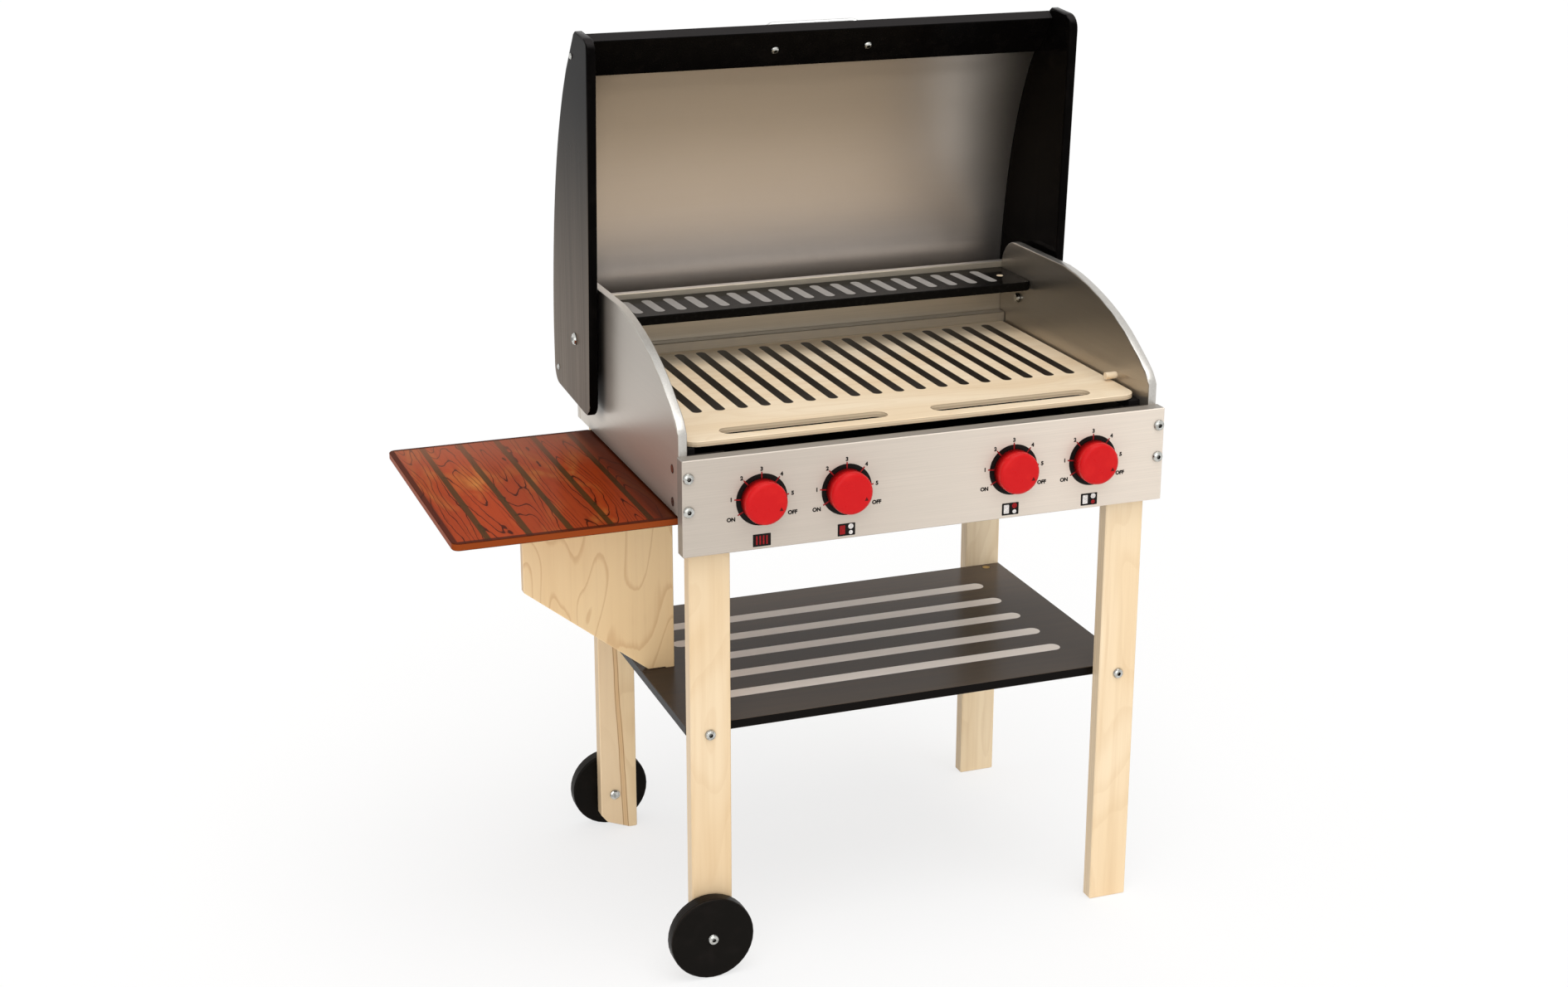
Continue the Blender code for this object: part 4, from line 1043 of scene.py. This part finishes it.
# Printed dials behind the knobs
dial = {
    "disc": 0.0213,
    "discSides": 48,
    "film": 0.00012,  # ink stands this far proud of the face
    "over": 1.6,  # films, for ink that lies over other ink
    "tickIn": 0.0150,
    "tickOut": 0.0228,
    "tickWide": 0.0010,
    "marks": (("ON", -118.8, 0.0290), ("1", -84.6, 0.0254), ("2", -41, 0.0252),
              ("3", 0, 0.0250), ("4", 41, 0.0253), ("5", 84.8, 0.0258), ("OFF", 117.8, 0.0290)),
    "letter": 0.0032,
    "letterSize": 1.38,  # of a letter's height
    "bold": 0.00024,
    "black": (0.005, 0.0035, 0.003),
    "red": (0.26, 0.008, 0.010),
    "pale": (0.62, 0.60, 0.58),
}
icon = {
    "wide": 0.0149,
    "tall": 0.0103,
    "corner": 0.0005,
    # from the centre of each knob
    "spots": ((0.0, -0.0335), (0.0, -0.0335), (-0.0018, -0.0333), (-0.0018, -0.0333)),
    "bars": (-1.5, -0.5, 0.5, 1.5),
    "barPitch": 0.0028,
    "barWide": 0.0013,
    "block": (-0.0035, 0.0046),
    "shapeTall": 0.0074,
    "shapeCorner": 0.0004,
    "bigRing": (0.0037, 0.0024, 0.0022),
    "smallRing": (0.0037, -0.0026, 0.0017),
    "ringSides": 24,
}
pointer = {
    "out": 0.0122,  # from the knob's centre
    "turn": 113,
    "wide": 0.0032,
    "tall": 0.0030,
    "film": 0.00010,
    "colour": (0.085, 0.004, 0.004),
}
printing = {
    "rough": 0.45,
    "gloss": 0.12,
    "lightFrom": (0.4, 0.8),
    "light": (1.5, 0.004),  # times the ink's colour, and added to it
    "bump": (0.05, 0.0001),
    "speckNoise": {"scale": 900.0, "detail": 2.0, "rough": 0.6},
    "seam": 0.00001,  # between a face and the ink over it
    "cornerSteps": 4,
}


def inkFinish(name, colour):
    made, tree, shader, where = startFinish(name, printing["rough"], 0.0, printing["gloss"])
    speck = mottle(tree, where, **printing["speckNoise"])
    share, add = printing["light"]
    light = tuple(part * share + add for part in colour)
    fleck = between(tree, speck, *printing["lightFrom"])
    feed(tree, shader.inputs["Base Color"], mixColour(tree, fleck, colour, light))
    bump(tree, shader, speck, *printing["bump"])
    return made


def slab(bm, outline, near, far, slot):
    # a flat outline in X and Z, from Y near to Y far
    front = [bm.verts.new((x, far, z)) for x, z in outline]
    back = [bm.verts.new((x, near, z)) for x, z in outline]
    for face in bridge(bm, front, back):
        face.material_index = slot


def circle(x, z, radius, sides):
    turns = [2 * math.pi * k / sides for k in range(sides)]
    return [(x + radius * math.cos(turn), z + radius * math.sin(turn)) for turn in turns]


def roundedBox(x, z, wide, tall, corner):
    steps = printing["cornerSteps"]
    made = []
    for right, up, start in ((1, 1, 0), (-1, 1, 90), (-1, -1, 180), (1, -1, 270)):
        for k in range(steps + 1):
            turn = math.radians(start + 90 * k / steps)
            made.append((x + right * (wide / 2 - corner) + corner * math.cos(turn),
                         z + up * (tall / 2 - corner) + corner * math.sin(turn)))
    return made


def letters(bm, text, x, z, face, spec, slot):
    data = bpy.data.curves.new("dialLetters", "FONT")
    data.body = text
    data.size = spec["letter"] * spec["letterSize"]
    data.align_x = "CENTER"
    data.align_y = "CENTER"
    data.extrude = spec["film"] / 2
    data.offset = spec["bold"]
    made = newObject("dialLetters", data)
    bpy.context.view_layer.update()
    mesh = made.to_mesh()
    seat = Matrix.Translation((x, face - spec["film"] / 2, z))
    seat = seat @ Matrix.Rotation(math.pi / 2, 4, "X")
    spots = [bm.verts.new(seat @ vert.co) for vert in mesh.vertices]
    for polygon in mesh.polygons:
        bm.faces.new([spots[i] for i in polygon.vertices]).material_index = slot
    made.to_mesh_clear()
    bpy.data.objects.remove(made)
    bpy.data.curves.remove(data)


def iconShapes(number):
    # each shape's outline, from the icon's middle, and its ink; the knob's burner is red
    tall, corner, sides = icon["shapeTall"], icon["shapeCorner"], icon["ringSides"]
    if number == 1:
        return [("box", (k * icon["barPitch"], 0, icon["barWide"], tall, corner), 1)
                for k in icon["bars"]]
    place, wide = icon["block"]
    return [("box", (place, 0, wide, tall, corner), 1 if number == 2 else 2),
            ("ring", (*icon["bigRing"], sides), 1 if number == 3 else 2),
            ("ring", (*icon["smallRing"], sides), 1 if number == 4 else 2)]


def makeDials():
    inks = [inkFinish("dialBlack", dial["black"]), inkFinish("dialRed", dial["red"]),
            inkFinish("dialPale", dial["pale"])]
    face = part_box("front_panel")[0].y
    seam, film, over = face - printing["seam"], face - dial["film"], dial["film"] * dial["over"]
    for number in range(1, 5):
        low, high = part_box(f"knob_{number}")
        x, z = (low.x + high.x) / 2, (low.z + high.z) / 2
        bm = bmesh.new()
        slab(bm, circle(x, z, dial["disc"], dial["discSides"]), seam, film, 0)
        for text, turn, out in dial["marks"]:
            way = Vector((math.sin(math.radians(turn)), math.cos(math.radians(turn))))
            side = Vector((way.y, -way.x)) * dial["tickWide"] / 2
            middle = Vector((x, z))
            near, far = middle + way * dial["tickIn"], middle + way * dial["tickOut"]
            slab(bm, [near - side, far - side, far + side, near + side], seam, face - over, 1)
            spot = middle + way * out
            letters(bm, text, spot.x, spot.y, face, dial, 0)
        iconX, iconZ = x + icon["spots"][number - 1][0], z + icon["spots"][number - 1][1]
        slab(bm, roundedBox(iconX, iconZ, icon["wide"], icon["tall"], icon["corner"]),
             seam, film, 0)
        for kind, (right, up, *size), ink in iconShapes(number):
            shape = circle if kind == "ring" else roundedBox
            slab(bm, shape(iconX + right, iconZ + up, *size), film, face - over, ink)
        made = newPiece(f"dial_print_{number}", bm, inks)
        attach(made, "frame")


# Nut ends in the side boards: a dark seam round a plated face, and its slot; the seam and the
# slot are painted shade
nutEnd = {
    "seam": 0.0036,
    "face": 0.0029,
    "sides": 32,
    "slotLong": 0.0042,
    "slotWide": 0.0011,
    "film": 0.00006,
    "dark": (0.035, 0.028, 0.022),
    "turn": {"left_lower": 75, "left_upper": 90, "right_lower": 60, "right_upper": 105},
}


def makeNutEnds():
    inks = [inkFinish("nutPaintedShade", nutEnd["dark"]), platedFinish("nutZinc", plating["zinc"])]
    film = nutEnd["film"]
    for name, turn in nutEnd["turn"].items():
        low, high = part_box("panel_nut_" + name)
        left = name.startswith("left")
        face, out = (low.x, -1) if left else (high.x, 1)
        y, z = (low.y + high.y) / 2, (low.z + high.z) / 2
        way = Vector((math.cos(math.radians(turn)), math.sin(math.radians(turn))))
        side = Vector((-way.y, way.x)) * nutEnd["slotWide"] / 2
        half = way * nutEnd["slotLong"] / 2
        # the dark ink paints the shade in the gap round the nut and in its slot
        layers = [(circle(0, 0, nutEnd["seam"], nutEnd["sides"]), 0),
                  (circle(0, 0, nutEnd["face"], nutEnd["sides"]), 1),
                  ([-half - side, half - side, half + side, -half + side], 0)]
        bm = bmesh.new()
        for k, (outline, ink) in enumerate(layers):
            slab(bm, outline, k * film, (k + 1) * film, ink)
        # slabs lie in X and Z, and the nut's end looks along X
        for vert in bm.verts:
            across, deep, up = vert.co
            vert.co = (face + out * deep, y + across, z + up)
        made = newPiece("nut_end_" + name, bm, inks)
        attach(made, "frame")


def makePointers():
    ink = inkFinish("pointerInk", pointer["colour"])
    for number in range(1, 5):
        low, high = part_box(f"knob_{number}")
        turn = math.radians(pointer["turn"])
        x = (low.x + high.x) / 2 + pointer["out"] * math.sin(turn)
        z = (low.z + high.z) / 2 + pointer["out"] * math.cos(turn)
        half, tall = pointer["wide"] / 2, pointer["tall"] / 2
        bm = bmesh.new()
        slab(bm, [(x - half, z - tall), (x + half, z - tall), (x, z + tall)],
             low.y + printing["seam"], low.y - pointer["film"], 0)
        made = newPiece(f"knob_pointer_{number}", bm, [ink])
        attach(made, f"knob_{number}")


bpy.context.scene.view_settings.view_transform = "Standard"
makeCamera(cameraSet)
makeSky(studio)
makeLamps(studio)
makeFloor(studio)
print("camera and studio ready")
dressNodes()
print("finishes on the boards and the metalwork")
smoothCurves()
makeSheet()
print("curved pieces smoothed")
makeDials()
makePointers()
print("dials printed")
makeNutEnds()
print("nut ends set in")
